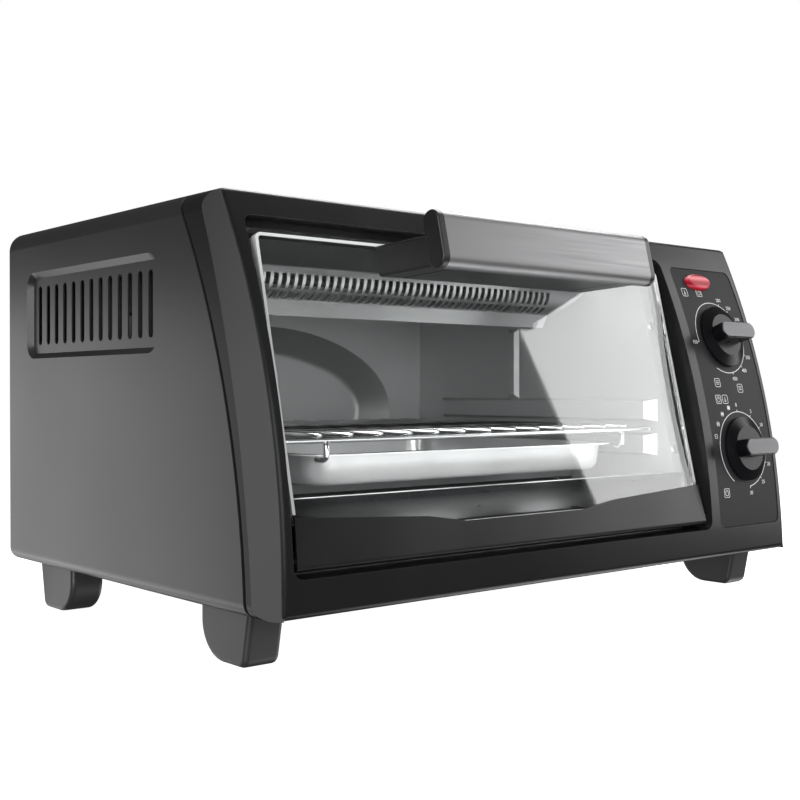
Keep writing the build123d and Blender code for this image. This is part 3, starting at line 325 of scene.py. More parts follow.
def brushed_group():
    """Long fine lines along X: noise on Object coordinates stretched across the brushing."""
    tree, start, end = new_group("Brushed Lines", [("Scale", 900.0), ("Along", 0.02)], ["Lines"])
    place = tree.nodes.new("ShaderNodeTexCoord")
    split = tree.nodes.new("ShaderNodeSeparateXYZ")
    shrink = tree.nodes.new("ShaderNodeMath")
    shrink.operation = "MULTIPLY"
    join = tree.nodes.new("ShaderNodeCombineXYZ")
    noise = tree.nodes.new("ShaderNodeTexNoise")
    noise.inputs["Detail"].default_value = 3.0
    tree.links.new(place.outputs["Object"], split.inputs["Vector"])
    tree.links.new(split.outputs["X"], shrink.inputs[0])
    tree.links.new(start.outputs["Along"], shrink.inputs[1])
    tree.links.new(shrink.outputs["Value"], join.inputs["X"])
    tree.links.new(split.outputs["Y"], join.inputs["Y"])
    tree.links.new(split.outputs["Z"], join.inputs["Z"])
    tree.links.new(join.outputs["Vector"], noise.inputs["Vector"])
    tree.links.new(start.outputs["Scale"], noise.inputs["Scale"])
    tree.links.new(noise.outputs["Fac"], end.inputs["Lines"])
    return tree


# Width of the wear and painted edge highlight along an edge
WORN_AND_HIGHLIT_RADIUS = 0.6 * MM


def edge_group():
    """Mask of worn edges, which also lays a painted highlight along them: how far the rounded normal leaves the
    true one.
    """
    tree, start, end = new_group("Worn Edges", [("Gain", 6.0)], ["Edge"])
    bevel = tree.nodes.new("ShaderNodeBevel")
    bevel.samples = 4
    bevel.inputs["Radius"].default_value = WORN_AND_HIGHLIT_RADIUS
    surface = tree.nodes.new("ShaderNodeNewGeometry")
    dot = tree.nodes.new("ShaderNodeVectorMath")
    dot.operation = "DOT_PRODUCT"
    away = tree.nodes.new("ShaderNodeMath")
    away.operation = "SUBTRACT"
    away.inputs[0].default_value = 1.0
    gain = tree.nodes.new("ShaderNodeMath")
    gain.operation = "MULTIPLY"
    gain.use_clamp = True
    tree.links.new(bevel.outputs["Normal"], dot.inputs[0])
    tree.links.new(surface.outputs["Normal"], dot.inputs[1])
    tree.links.new(dot.outputs["Value"], away.inputs[1])
    tree.links.new(away.outputs["Value"], gain.inputs[0])
    tree.links.new(start.outputs["Gain"], gain.inputs[1])
    tree.links.new(gain.outputs["Value"], end.inputs["Edge"])
    return tree


# Shared groups made so far, by name
GROUPS = {}


def group(nodes, name):
    """Place a shared group in a material, building it the first time."""
    makers = {"Surface Variation": surface_group, "Brushed Lines": brushed_group, "Worn Edges": edge_group}
    if name not in GROUPS:
        GROUPS[name] = makers[name]()
    node = nodes.new("ShaderNodeGroup")
    node.node_tree = GROUPS[name]
    return node


# Range of a noise that shows, and the depths of a grain's and a brushed line's relief
NOISE_RANGE = (0.3, 0.7)
GRAIN_DEPTH = 0.05 * MM
LINE_DEPTH = 0.03 * MM
# Darkest and lightest tone of an uneven finish, as factors of its colour
MOULDED_TONES = (0.9, 1.1)
PLATED_TONES = (0.92, 1.05)
# Smoothest and roughest place of a brushed finish, as steps, and of a plated one, as factors
BRUSHED_GLOSS = (-0.05, 0.07)
PLATED_GLOSS = (0.7, 1.4)


# Building blocks of a material
def new_material(name, colour, roughness, metallic=0.0, **plain):
    """Material with one Principled shader and its constant sockets set; returns it and the shader."""
    material = bpy.data.materials.new(name)
    material.use_nodes = True
    shader = material.node_tree.nodes["Principled BSDF"]
    shader.inputs["Base Color"].default_value = (*colour, 1.0)
    shader.inputs["Roughness"].default_value = roughness
    shader.inputs["Metallic"].default_value = metallic
    for label, value in plain.items():
        shader.inputs[label.replace("_", " ")].default_value = value
    return material, shader


def spread(material, source, low, high):
    """Value that runs from low to high as the source runs over the middle of its noise."""
    node = material.node_tree.nodes.new("ShaderNodeMapRange")
    node.inputs["From Min"].default_value, node.inputs["From Max"].default_value = NOISE_RANGE
    node.inputs["To Min"].default_value = low
    node.inputs["To Max"].default_value = high
    material.node_tree.links.new(source, node.inputs["Value"])
    return node.outputs["Result"]


def between(material, mask, first, second):
    """Colour that goes from the first to the second with a mask."""
    node = material.node_tree.nodes.new("ShaderNodeMix")
    node.data_type = "RGBA"
    node.inputs["A"].default_value = (*first, 1.0)
    node.inputs["B"].default_value = (*second, 1.0)
    material.node_tree.links.new(mask, node.inputs["Factor"])
    return node


def bump(material, shader, height, strength, distance):
    """Relief from a height."""
    node = material.node_tree.nodes.new("ShaderNodeBump")
    node.inputs["Strength"].default_value = strength
    node.inputs["Distance"].default_value = distance
    material.node_tree.links.new(height, node.inputs["Height"])
    material.node_tree.links.new(node.outputs["Normal"], shader.inputs["Normal"])


def shade(colour, factor):
    """A colour made darker or lighter."""
    return tuple(min(1.0, channel * factor) for channel in colour)


def uneven(material, source, colour, tones):
    """Colour whose tone follows a noise between two factors."""
    low, high = tones
    return between(material, spread(material, source, 0.0, 1.0), shade(colour, low), shade(colour, high))


def moulded(name, colour, roughness, grain=2600.0, relief=0.04, spread_by=0.06, edge=1.8, **plain):
    """Moulded or painted finish: fine grain, uneven gloss and slightly paler edges, partly wear and partly painted
    edge highlight.
    """
    material, shader = new_material(name, colour, roughness, **plain)
    links = material.node_tree.links
    surface = group(material.node_tree.nodes, "Surface Variation")
    surface.inputs["Grain Scale"].default_value = grain
    edge_wear_and_highlight = group(material.node_tree.nodes, "Worn Edges")
    rough = spread(material, surface.outputs["Patches"], roughness - spread_by, roughness + spread_by)
    links.new(rough, shader.inputs["Roughness"])
    tone = uneven(material, surface.outputs["Patches"], colour, MOULDED_TONES)
    # Paler edges: partly wear, partly a painted highlight along the edges.
    edges = between(material, edge_wear_and_highlight.outputs["Edge"], colour, shade(colour, edge))
    links.new(tone.outputs["Result"], edges.inputs["A"])
    links.new(edges.outputs["Result"], shader.inputs["Base Color"])
    bump(material, shader, surface.outputs["Grain"], relief, GRAIN_DEPTH)
    return material


def brushed(name, colour, roughness, scale=900.0, along=0.02, relief=0.05, contrast=0.12, **plain):
    """Metal sheet brushed along X."""
    material, shader = new_material(name, colour, roughness, 1.0, **plain)
    links = material.node_tree.links
    lines = group(material.node_tree.nodes, "Brushed Lines")
    lines.inputs["Scale"].default_value = scale
    lines.inputs["Along"].default_value = along
    smooth, rough = roughness + BRUSHED_GLOSS[0], roughness + BRUSHED_GLOSS[1]
    links.new(spread(material, lines.outputs["Lines"], smooth, rough), shader.inputs["Roughness"])
    tone = uneven(material, lines.outputs["Lines"], colour, (1 - contrast, 1 + contrast))
    links.new(tone.outputs["Result"], shader.inputs["Base Color"])
    bump(material, shader, lines.outputs["Lines"], relief, LINE_DEPTH)
    return material


def plated(name, colour, roughness, patches=30.0, **plain):
    """Bright metal with a slightly uneven polish."""
    material, shader = new_material(name, colour, roughness, 1.0, **plain)
    links = material.node_tree.links
    surface = group(material.node_tree.nodes, "Surface Variation")
    surface.inputs["Patch Scale"].default_value = patches
    smooth, rough = roughness * PLATED_GLOSS[0], roughness * PLATED_GLOSS[1]
    links.new(spread(material, surface.outputs["Patches"], smooth, rough), shader.inputs["Roughness"])
    tone = uneven(material, surface.outputs["Patches"], colour, PLATED_TONES)
    links.new(tone.outputs["Result"], shader.inputs["Base Color"])
    return material


def clear_glass():
    """Tempered glass that lets lamp light through to the cavity."""
    material, shader = new_material(
        "Door Glass", (0.97, 0.985, 0.98), 0.02, Transmission_Weight=1.0, IOR=1.5
    )
    nodes, links = material.node_tree.nodes, material.node_tree.links
    path = nodes.new("ShaderNodeLightPath")
    open_air = nodes.new("ShaderNodeBsdfTransparent")
    mix = nodes.new("ShaderNodeMixShader")
    links.new(path.outputs["Is Shadow Ray"], mix.inputs["Fac"])
    links.new(shader.outputs["BSDF"], mix.inputs[1])
    links.new(open_air.outputs["BSDF"], mix.inputs[2])
    links.new(mix.outputs["Shader"], nodes["Material Output"].inputs["Surface"])
    return material


def centred(material, node):
    """Object coordinates measured from the middle of a node, so that they are 1 at the sides of its box."""
    low, high = np.array(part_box(node)[0]), np.array(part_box(node)[1])
    middle, half = (low + high) / 2, (high - low) / 2
    nodes, links = material.node_tree.nodes, material.node_tree.links
    place, fit = nodes.new("ShaderNodeTexCoord"), nodes.new("ShaderNodeMapping")
    fit.inputs["Location"].default_value = -middle / half
    fit.inputs["Scale"].default_value = 1 / half
    links.new(place.outputs["Object"], fit.inputs["Vector"])
    return fit.outputs["Vector"]


# Height in the lens, from 0 at its foot to 1 at its top, and the red there: the red glow from the lamp behind it,
# with pale pink bands that are painted highlights
LENS_GLOW_AND_HIGHLIGHTS = (
    (0.08, (0.12, 0.0, 0.004)),
    (0.3, (0.42, 0.012, 0.03)),
    (0.42, (0.62, 0.07, 0.1)),
    (0.54, (0.24, 0.002, 0.01)),
    (0.66, (0.4, 0.012, 0.03)),
    (0.8, (0.75, 0.22, 0.25)),
    (0.95, (0.25, 0.004, 0.012)),
)


def lens_plastic():
    """Red lens lit from behind, with bands one above the other: its red glow and pale pink painted highlights."""
    material, shader = new_material(
        "Indicator Lens", LENS_GLOW_AND_HIGHLIGHTS[0][1], 0.3, Emission_Strength=0.22, Specular_IOR_Level=0.12
    )
    nodes, links = material.node_tree.nodes, material.node_tree.links
    split = nodes.new("ShaderNodeSeparateXYZ")
    links.new(centred(material, "indicator_lens"), split.inputs["Vector"])
    height = nodes.new("ShaderNodeMapRange")
    height.inputs["From Min"].default_value = -1.0
    links.new(split.outputs["Z"], height.inputs["Value"])
    streaks = nodes.new("ShaderNodeValToRGB")
    ramp = streaks.color_ramp
    while len(ramp.elements) < len(LENS_GLOW_AND_HIGHLIGHTS):
        ramp.elements.new(0.5)
    for element, (place, red) in zip(ramp.elements, LENS_GLOW_AND_HIGHLIGHTS):
        element.position = place
        element.color = (*red, 1.0)
    links.new(height.outputs["Result"], streaks.inputs["Fac"])
    # The pale pink bands are painted highlights, in both the emission and the base colour.
    links.new(streaks.outputs["Color"], shader.inputs["Emission Color"])
    links.new(streaks.outputs["Color"], shader.inputs["Base Color"])
    return material


# Heights over which the top of the guard goes dark, the tray's lip goes dark in a painted shade, and its fold
# shows a painted highlight
GUARD_DARK = (186.9 * MM, 188.1 * MM)
LIP_SHADE = (58.0 * MM, 72.0 * MM)
LIP_FOLD_HIGHLIGHT = (75.0 * MM, 75.2 * MM)
# Normal's X from the ends of the left cavity wall to its outside, which shows through the vents and is darkened
# there as a painted shade
LEFT_OUTSIDE_SHADE = (-0.4, -0.6)
# Rise of the normal from the pan's walls to its floor, where a painted shade darkens the floor
PAN_FLOOR_SHADE = (0.5, 0.8)


def component(material, kind, output, axis="Z"):
    """One part of a vector that a kind of node gives, such as Object coordinates or the normal."""
    nodes, links = material.node_tree.nodes, material.node_tree.links
    source, split = nodes.new(kind), nodes.new("ShaderNodeSeparateXYZ")
    links.new(source.outputs[output], split.inputs["Vector"])
    return split.outputs[axis]


def colour_over_range(material, value, limits, colour):
    """Let a finish go over to a colour as a value runs between two limits; used for painted shade and painted
    highlights, and for the dark band at the top of the guard.
    """
    links = material.node_tree.links
    shader = material.node_tree.nodes["Principled BSDF"]
    mask = material.node_tree.nodes.new("ShaderNodeMapRange")
    mask.inputs["From Min"].default_value, mask.inputs["From Max"].default_value = limits
    links.new(value, mask.inputs["Value"])
    ramped = between(material, mask.outputs["Result"], colour, colour)
    links.new(shader.inputs["Base Color"].links[0].from_socket, ramped.inputs["A"])
    links.new(ramped.outputs["Result"], shader.inputs["Base Color"])


def finish_nodes(nodes, material):
    """Give a finish to some nodes."""
    for node in nodes:
        mesh = frame["nodes"][node].data
        mesh.materials.clear()
        mesh.materials.append(material)


def dress(slot, material):
    """Give a finish to each node of a material slot of the record."""
    finish_nodes([part["node"] for part in RECORD["subparts"] if part["material_slot"] == slot], material)


# Operators
class OVEN_OT_casing(Operator):
    """Finish the wrapper, the rear panel, the base, the gland and the feet"""

    bl_idname = "oven.casing"
    bl_label = "Casing"

    def execute(self, context):
        finish = context.scene.oven_finish
        dress("casing_paint", moulded(
            "Casing Paint", finish.casing, 0.3, grain=3200, spread_by=0.02, edge=1.3
        ))
        dress("base_steel", plated("Base Sheet", (0.42, 0.42, 0.43), 0.4))
        dress("gland_black", moulded("Gland Moulding", (0.015, 0.015, 0.016), 0.5))
        dress("foot_black", moulded("Foot Moulding", (0.03, 0.03, 0.031), 0.42, relief=0.08))
        return {"FINISHED"}


class OVEN_OT_front(Operator):
    """Finish the front frame, the control fascia and the indicator"""

    bl_idname = "oven.front"
    bl_label = "Front"

    def execute(self, context):
        finish = context.scene.oven_finish
        dress("frame_black", moulded(
            "Front Moulding", finish.moulding, 0.3,
            relief=0.03, spread_by=0.02, edge=2.5, Specular_IOR_Level=0.2,
        ))
        dress("fascia_grey", moulded(
            "Fascia Satin", finish.fascia, 0.45, grain=4200, relief=0.05, edge=1.2, Specular_IOR_Level=0.06
        ))
        dress("lens_red", lens_plastic())
        dress("lamp_glow", plated("Lamp Cap", (0.7, 0.5, 0.4), 0.3))
        return {"FINISHED"}


class OVEN_OT_door(Operator):
    """Finish the glass, the lower rail and the handle"""

    bl_idname = "oven.door"
    bl_label = "Door"

    def execute(self, context):
        finish = context.scene.oven_finish
        dress("door_glass", clear_glass())
        dress("rail_black", moulded(
            "Rail Paint", (0.014, 0.014, 0.015), 0.34, relief=0.03, edge=3.0, Specular_IOR_Level=0.25
        ))
        dress("handle_silver", brushed("Handle Brushed", finish.silver, 0.45, relief=0.008, contrast=0.03))
        dress("handle_black", moulded("Handle Moulding", (0.011, 0.011, 0.012), 0.38))
        return {"FINISHED"}


class OVEN_OT_glass_edge(Operator):
    """Lay a pale strip round the free edges of the door's glass, a painted highlight for their bright edge"""

    bl_idname = "oven.glass_edge"
    bl_label = "Glass Edge"

    def execute(self, context):
        settings = context.scene.oven_door
        # Painted highlight: a pale opaque strip stands for the bright edge of the glass.
        edge_highlight = moulded("Ground Glass", (0.78, 0.8, 0.79), 0.45, relief=0.03, edge=1.0)
        verts, faces = glass_rim(settings)
        new_piece("glass_ground_edge", verts, faces, edge_highlight, "door", "door_glass")
        return {"FINISHED"}


def glass_axes():
    """Directions up and out of the glass, and the reach of the glass along X and both of them.

    The normal of the widest face points out of the glass or into it, and up = x cross normal.
    """
    mesh = frame["nodes"]["door_glass"].data
    points = mesh_points(mesh)
    widest = max(mesh.polygons, key=lambda polygon: polygon.area)
    out = np.array(widest.normal) * -np.sign(widest.normal[1])
    up = np.cross([1.0, 0.0, 0.0], out)
    up *= np.sign(up[2])
    reach = [(along.min(), along.max()) for along in (points[:, 0], points @ up, points @ out)]
    return up, out, reach


def glass_rim(settings):
    """Thin pale strip round the sides and the top of the glass, a painted highlight for its bright edge.

    An angle section, over the edge and a little of the front face, is carried along a path of two sides,
    two quarter rounds and the top. Place = x + up * u + out * v.
    """
    up, out, ((left, right), (low, high), (back, front)) = glass_axes()
    radius = settings.glass_corner
    turn = np.linspace(math.pi, math.pi / 2, 9)
    centre = np.array([left + radius, high - radius])
    corner = centre + radius * np.stack([np.cos(turn), np.sin(turn)], axis=-1)
    rise = np.stack([np.full(8, left), np.linspace(low + settings.edge_start, high - radius, 8)], axis=-1)
    half = np.concatenate([rise[:-1], corner])
    path = np.concatenate([half, (half * [-1, 1] + [left + right, 0])[::-1]])
    gap, wall = settings.edge_gap, settings.edge_wall
    proud, rear = front + gap, back + wall
    reach = np.array([-settings.arris, gap, gap, gap + wall, gap + wall, -settings.arris])
    depth = np.array([proud, proud, rear, rear, proud + wall, proud + wall])
    flat = path[:, None, :] + sideways(path)[:, None, :] * reach[:, None]
    points = flat[..., :1] * [1.0, 0.0, 0.0] + flat[..., 1:] * up + depth[:, None] * out
    return points.reshape(-1, 3), tube_faces(len(path), len(reach))


def cavity_sheet(name, colour):
    """Dull aluminised sheet of the cavity."""
    return brushed(name, colour, 0.42, scale=220, along=0.3, relief=0.003, contrast=0.02, Metallic=0.7)


class OVEN_OT_cavity(Operator):
    """Finish the cavity's sheets, the heaters and the fasteners"""

    bl_idname = "oven.cavity"
    bl_label = "Cavity"

    def execute(self, context):
        finish = context.scene.oven_finish
        dress("cavity_steel", cavity_sheet("Cavity Sheet", finish.cavity))
        left = cavity_sheet("Left Wall Sheet", finish.cavity)
        outward = component(left, "ShaderNodeNewGeometry", "Normal", "X")
        # Painted shade: the outside of the left wall, seen through the vents, is made dark.
        colour_over_range(left, outward, LEFT_OUTSIDE_SHADE, (0.03, 0.03, 0.031))
        finish_nodes(("cavity_left_wall",), left)
        guard = brushed(
            "Guard Sheet", (0.42, 0.42, 0.425), 0.35, scale=900, along=0.1, relief=0.004, contrast=0.03
        )
        # The top of the upper guard turns dark above a height.
        colour_over_range(guard, component(guard, "ShaderNodeTexCoord", "Object"), GUARD_DARK, (0.05, 0.05, 0.051))
        finish_nodes(("upper_element_guard", "lower_element_guard"), guard)
        # Painted shade: the cavity's ceiling is given a dark colour.
        finish_nodes(("cavity_ceiling",), moulded(
            "Ceiling Paint", (0.028, 0.028, 0.029), 0.38, Specular_IOR_Level=0.3
        ))
        finish_nodes(("crumb_tray",), moulded(
            "Tray Sheet", (0.62, 0.62, 0.625), 0.34, relief=0.02, edge=1.2, Metallic=0.35
        ))
        dress("heater_sheath", moulded("Heater Sheath", (0.1, 0.095, 0.09), 0.5, Metallic=0.6))
        dress("ceramic_white", moulded("Ceramic", (0.3, 0.29, 0.27), 0.6, edge=1.05))
        dress("screw_steel", plated("Screw Zinc", (0.62, 0.62, 0.63), 0.25))
        dress("bush_brass", plated("Bush Brass", (0.18, 0.13, 0.06), 0.3))
        return {"FINISHED"}


class OVEN_OT_rack(Operator):
    """Draw the wires of the rack and its hooks, and finish them and the pan"""

    bl_idname = "oven.rack"
    bl_label = "Rack and Pan"

    def execute(self, context):
        settings = context.scene.oven_rack
        chrome = plated("Rack Chrome", (0.8, 0.8, 0.81), 0.2)
        dress("rack_chrome", chrome)
        rack = new_piece("rack_wires", *joined(rack_wires(settings)), chrome, "rack", "rack_chrome", True)
        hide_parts("wire_rack")
        hooks = new_piece("rack_hooks", *joined(pan_hooks(settings)), chrome, "rack", "rack_chrome", True)
        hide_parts("rack_pan_hooks")
        pan = moulded(
            "Pan Sheet", (0.8, 0.8, 0.805), 0.22, relief=0.0, spread_by=0.01, edge=1.0, Metallic=0.45
        )
        # Painted shade: the upward-facing floor of the pan is made darker than its walls.
        colour_over_range(pan, component(pan, "ShaderNodeNewGeometry", "Normal"), PAN_FLOOR_SHADE, (0.16, 0.16, 0.162))
        dress("pan_metal", pan)
        return {"FINISHED"}


# Corners of a round wire, and how far a rod's middle stands above the loop's top, as a share of its radius
WIRE_SIDES = 12
ROD_SEAT = 0.8


def wire(path, radius, across, closed=False):
    """Round wire: a circle carried along a flat path.

    With t the tangent and a the normal of the path's plane,
    place = path + radius * ((a x t) cos w + a sin w).
    """
    path, across = np.asarray(path, dtype=float), np.asarray(across, dtype=float)
    turn = np.linspace(0.0, 2 * math.pi, WIRE_SIDES, endpoint=False)[None, :, None]
    ring = np.cross(across, tangents(path, closed))[:, None, :] * np.cos(turn) + across * np.sin(turn)
    points = path[:, None, :] + radius * ring
    return points.reshape(-1, 3), tube_faces(len(path), WIRE_SIDES, closed)


def rack_lines(settings):
    """Left, right, front, back and height of the wire centres of the rack's loop."""
    low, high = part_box("wire_rack")
    inset = settings.solid_wire
    return low[0] + inset, high[0] - inset, low[1] + inset, high[1] - inset, low[2] + inset


def hook_bars(settings):
    """Y of the bar of each pair of hooks and of the tips of their feet."""
    front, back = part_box("baking_pan")[0][1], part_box("baking_pan")[1][1]
    ahead, behind = rack_lines(settings)[2], back + settings.bar_gap
    return (ahead, front + settings.hook_grip), (behind, back - settings.hook_grip)


def rack_wires(settings):
    """Closed loop, a cross bar behind the pan, and rods from front to back on top of them."""
    left, right, front, back, level = rack_lines(settings)
    flat = rounded_corners((right - left) / 2, (back - front) / 2, settings.corner)
    flat += [(left + right) / 2, (front + back) / 2]
    loop = np.column_stack([flat, np.full(len(flat), level)])
    shapes = [wire(loop, settings.wire, (0, 0, 1), closed=True)]
    bar = hook_bars(settings)[1][0]
    shapes.append(wire([(left, bar, level), (right, bar, level)], settings.wire, (0, 0, 1)))
    top = level + settings.wire + ROD_SEAT * settings.rod
    for x in np.linspace(left + settings.rod_margin, right - settings.rod_margin, settings.rods):
        shapes.append(wire([(x, front, top), (x, back, top)], settings.rod, (0, 0, 1)))
    return shapes


def pan_hooks(settings):
    """Hooks that hang from the front bar and the cross bar and bend under the pan's rim.

    Each path goes down, turns by a quarter with radius b and ends level: y = bar + s b (1 - cos w) and
    z = foot + b (1 - sin w), where s is the way to the tip.
    """
    left, right, _, _, level = rack_lines(settings)
    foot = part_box("baking_pan")[1][2] - settings.rim - settings.wire
    bend = 2 * settings.wire
    turn = np.linspace(0.0, math.pi / 2, 7)
    shapes = []
    for bar, tip in hook_bars(settings):
        way = np.sign(tip - bar)
        y = np.concatenate([[bar], bar + way * bend * (1 - np.cos(turn)), [tip]])
        z = np.concatenate([[level], foot + bend * (1 - np.sin(turn)), [foot]])
        for x in (left + settings.hook_inset, right - settings.hook_inset):
            path = np.column_stack([np.full(len(y), x), y, z])
            shapes.append(wire(path, settings.wire, (1, 0, 0)))
    return shapes


class OVEN_OT_tray_lip(Operator):
    """Raise the front lip of the crumb tray"""

    bl_idname = "oven.tray_lip"
    bl_label = "Tray Lip"

    def execute(self, context):
        settings = context.scene.oven_rack
        sheet = brushed(
            "Lip Sheet", (0.17, 0.17, 0.172), 0.32, scale=300, along=0.1, relief=0.003, contrast=0.03
        )
        height = component(sheet, "ShaderNodeTexCoord", "Object")
        # Painted shade: the lip goes darker towards its top.
        colour_over_range(sheet, height, LIP_SHADE, (0.02, 0.02, 0.021))
        # Painted highlight: a bright line along the fold at the top.
        colour_over_range(sheet, height, LIP_FOLD_HIGHLIGHT, (0.7, 0.7, 0.705))
        verts, faces = tray_lip(settings)
        new_piece("crumb_tray_lip", verts, faces, sheet, "body", "cavity_steel", True)
        return {"FINISHED"}


# How far the lip's foot reaches down over the tray's own lip, as a share of the lip's rise above it
LIP_OVERLAP = 0.5
# Rise of the fold over the sheet, as a share of the sheet's thickness
FOLD_RISE = 0.6


def tray_lip(settings):
    """Formed sheet in front of the tray's own lip, upright towards its top and folded back there.

    Its section is u along the glass and v out of it: v = front + flare s^2 with s running up the sheet,
    then a half round of the sheet's own thickness. The section is carried along X.
    """
    up, out, _ = glass_axes()
    points = mesh_points(frame["nodes"]["crumb_tray"].data)
    wall = settings.lip_wall
    tall = points[points[:, 2] > points[:, 2].max() - wall]
    front = (tall @ out).max() + wall / 2
    low = (tall @ up).min() - LIP_OVERLAP * (settings.lip_top - tall[:, 2].min())
    high = (tall @ up).max() + (settings.lip_top - tall[:, 2].max()) / up[2]
    s = np.linspace(0.0, 1.0, 14)
    face = np.column_stack([low + s * (high - low), front + settings.lip_flare * s**2])
    turn = np.linspace(0.0, math.pi, 9)[1:-1]
    crest = front + settings.lip_flare - wall / 2
    fold = np.column_stack([high + FOLD_RISE * wall * np.sin(turn), crest + wall / 2 * np.cos(turn)])
    back = face[::-1] - [0.0, wall]
    section = np.concatenate([face, fold, back])
    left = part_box("cavity_floor")[0][0] + settings.lip_gap
    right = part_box("cavity_floor")[1][0] - settings.lip_gap
    place = section[:, :1] * up + section[:, 1:] * out
    ends = np.stack([place + [right, 0, 0], place + [left, 0, 0]])
    return ends.reshape(-1, 3), tube_faces(2, len(section))


class OVEN_OT_controls(Operator):
    """Finish the knobs, their bright facings and the housings behind them"""

    bl_idname = "oven.controls"
    bl_label = "Controls"

    def execute(self, context):
        dress("knob_black", moulded(
            "Knob Moulding", (0.006, 0.006, 0.007), 0.26, relief=0.02, edge=2.0, Specular_IOR_Level=0.12
        ))
        dress("knob_metal", brushed("Knob Facing", (0.1, 0.1, 0.103), 0.42, scale=1400))
        dress("control_housing", moulded("Control Housing", (0.6, 0.58, 0.52), 0.5))
        return {"FINISHED"}


class OVEN_OT_dial_print(Operator):
    """Print the dial rings, ticks, numbers and pictograms on the fascia"""

    bl_idname = "oven.dial_print"
    bl_label = "Dial Print"

    def execute(self, context):
        settings = context.scene.oven_print
        ink = moulded("Dial Ink", context.scene.oven_finish.print_ink, 0.5, relief=0.02, edge=1.0)
        shapes = dial_lines(settings) + dial_numbers(settings) + pictograms(settings)
        verts, faces = joined(shapes)
        new_piece("fascia_print", verts, faces, ink, "body", "fascia_grey")
        return {"FINISHED"}


# Clock angle of each number on the two dials, in degrees clockwise from the top
DIAL_NUMBERS = {
    "temperature_turn": {"150": 262, "200": 22, "250": 42, "300": 62, "350": 118, "400": 142, "450": 170},
    "timer_turn": {"0": 0, "5": 32, "10": 58, "15": 84, "20": 112, "25": 140, "30": 172},
}
# Clock angles between which each dial ring runs
DIAL_RINGS = {"temperature_turn": (262, 570), "timer_turn": (-146, 172)}
# Pictograms: control, millimetres across and up from it, and what is drawn
PICTOGRAMS = (
    ("temperature_turn", -22.5, 29.5, "thermometer"),
    ("temperature_turn", -8.0, 30.0, "clock"),
    ("temperature_turn", -14.5, -29.5, "pan"),
    ("temperature_turn", 8.0, -33.0, "pan"),
    ("temperature_turn", -17.0, -40.0, "clock"),
    ("temperature_turn", -10.2, -40.0, "thermometer"),
    ("timer_turn", -21.5, -26.0, "clock"),
)
# Clock angles of the squares for the toast shades on the lower dial
TOAST_SHADES = (-72, -54, -36, -18)
# Height of a digit as a share of its font size
DIGIT_SHARE = 0.7
# Lines of a pictogram and of a shade's square, as shares of a printed line
SIGN_LINE = 0.7
SHADE_LINE = 0.6
# Half size of a shade's square and its place beyond the ring, as shares of a pictogram's half size
SHADE_HALF = 0.45
SHADE_OUT = 1.5
# Corner of a pictogram's square as a share of its half size
SIGN_CORNER = 0.3
# Half length of a shade's fill and the growth of its width per shade, as shares of the square's half size
FILL_HALF = 0.8
FILL_STEP = 0.45
# Width of the palest fill, in steps
FILL_START = 0.2


def evenly(path, count):
    """Resample a closed path of two columns into points a steady distance apart."""
    line = np.concatenate([path, path[:1]])
    run = np.concatenate([[0.0], np.cumsum(np.linalg.norm(np.diff(line, axis=0), axis=1))])
    at = np.linspace(0.0, run[-1], count, endpoint=False)
    return np.stack([np.interp(at, run, line[:, 0]), np.interp(at, run, line[:, 1])], axis=-1)


def rounded_corners(half_across, half_up, radius):
    """Four quarter arcs about the corner centres of a rectangle, in order."""
    turn = np.linspace(0.0, math.pi / 2, 7)
    arcs = []
    for quarter, (side, end) in enumerate(((1, 1), (-1, 1), (-1, -1), (1, -1))):
        angle = turn + quarter * math.pi / 2
        centre = np.array([side * (half_across - radius), end * (half_up - radius)])
        arcs.append(centre + radius * np.stack([np.cos(angle), np.sin(angle)], axis=-1))
    return np.concatenate(arcs)


def rounded_square(half, count):
    """Closed path of steady steps round a square with rounded corners."""
    return evenly(rounded_corners(half, half, SIGN_CORNER * half), count)


def circle(radius, count):
    """Closed round path."""
    angle = np.linspace(0.0, 2 * math.pi, count, endpoint=False)
    return radius * np.stack([np.cos(angle), np.sin(angle)], axis=-1)


def clock_point(radius, degrees):
    """Across and up of a place on a dial, by its clock angle."""
    angle = np.radians(degrees)
    return np.stack([radius * np.sin(angle), radius * np.cos(angle)], axis=-1)


def inked(path, settings, joint, closed=False, width=None):
    """Printed line on the sunk fascia: a flat four-cornered section carried along a path of across and up.

    With n the path's normal, the corners are path +- n width / 2 at the lower and upper face of the ink.
    """
    half = sideways(path, closed) * (width or settings.line) / 2
    left, right = path + half, path - half
    flat = np.stack([right, left, left, right], axis=1)
    lift = np.array([0.0, 0.0, settings.ink, settings.ink]) - settings.sunk
    points = on_front(flat[..., 0], flat[..., 1], lift, joint)
    return points.reshape(-1, 3), tube_faces(len(path), 4, closed)


def dial_lines(settings):
    """Ring of each dial with a tick at each number."""
    shapes = []
    radii = settings.ring + np.linspace(0.0, settings.tick, 3)
    for joint, (start, end) in DIAL_RINGS.items():
        ring = clock_point(settings.ring, np.linspace(start, end, settings.segments))
        ticks = [clock_point(radii, degrees) for degrees in DIAL_NUMBERS[joint].values()]
        shapes += [inked(path, settings, joint) for path in (ring, *ticks)]
    return shapes


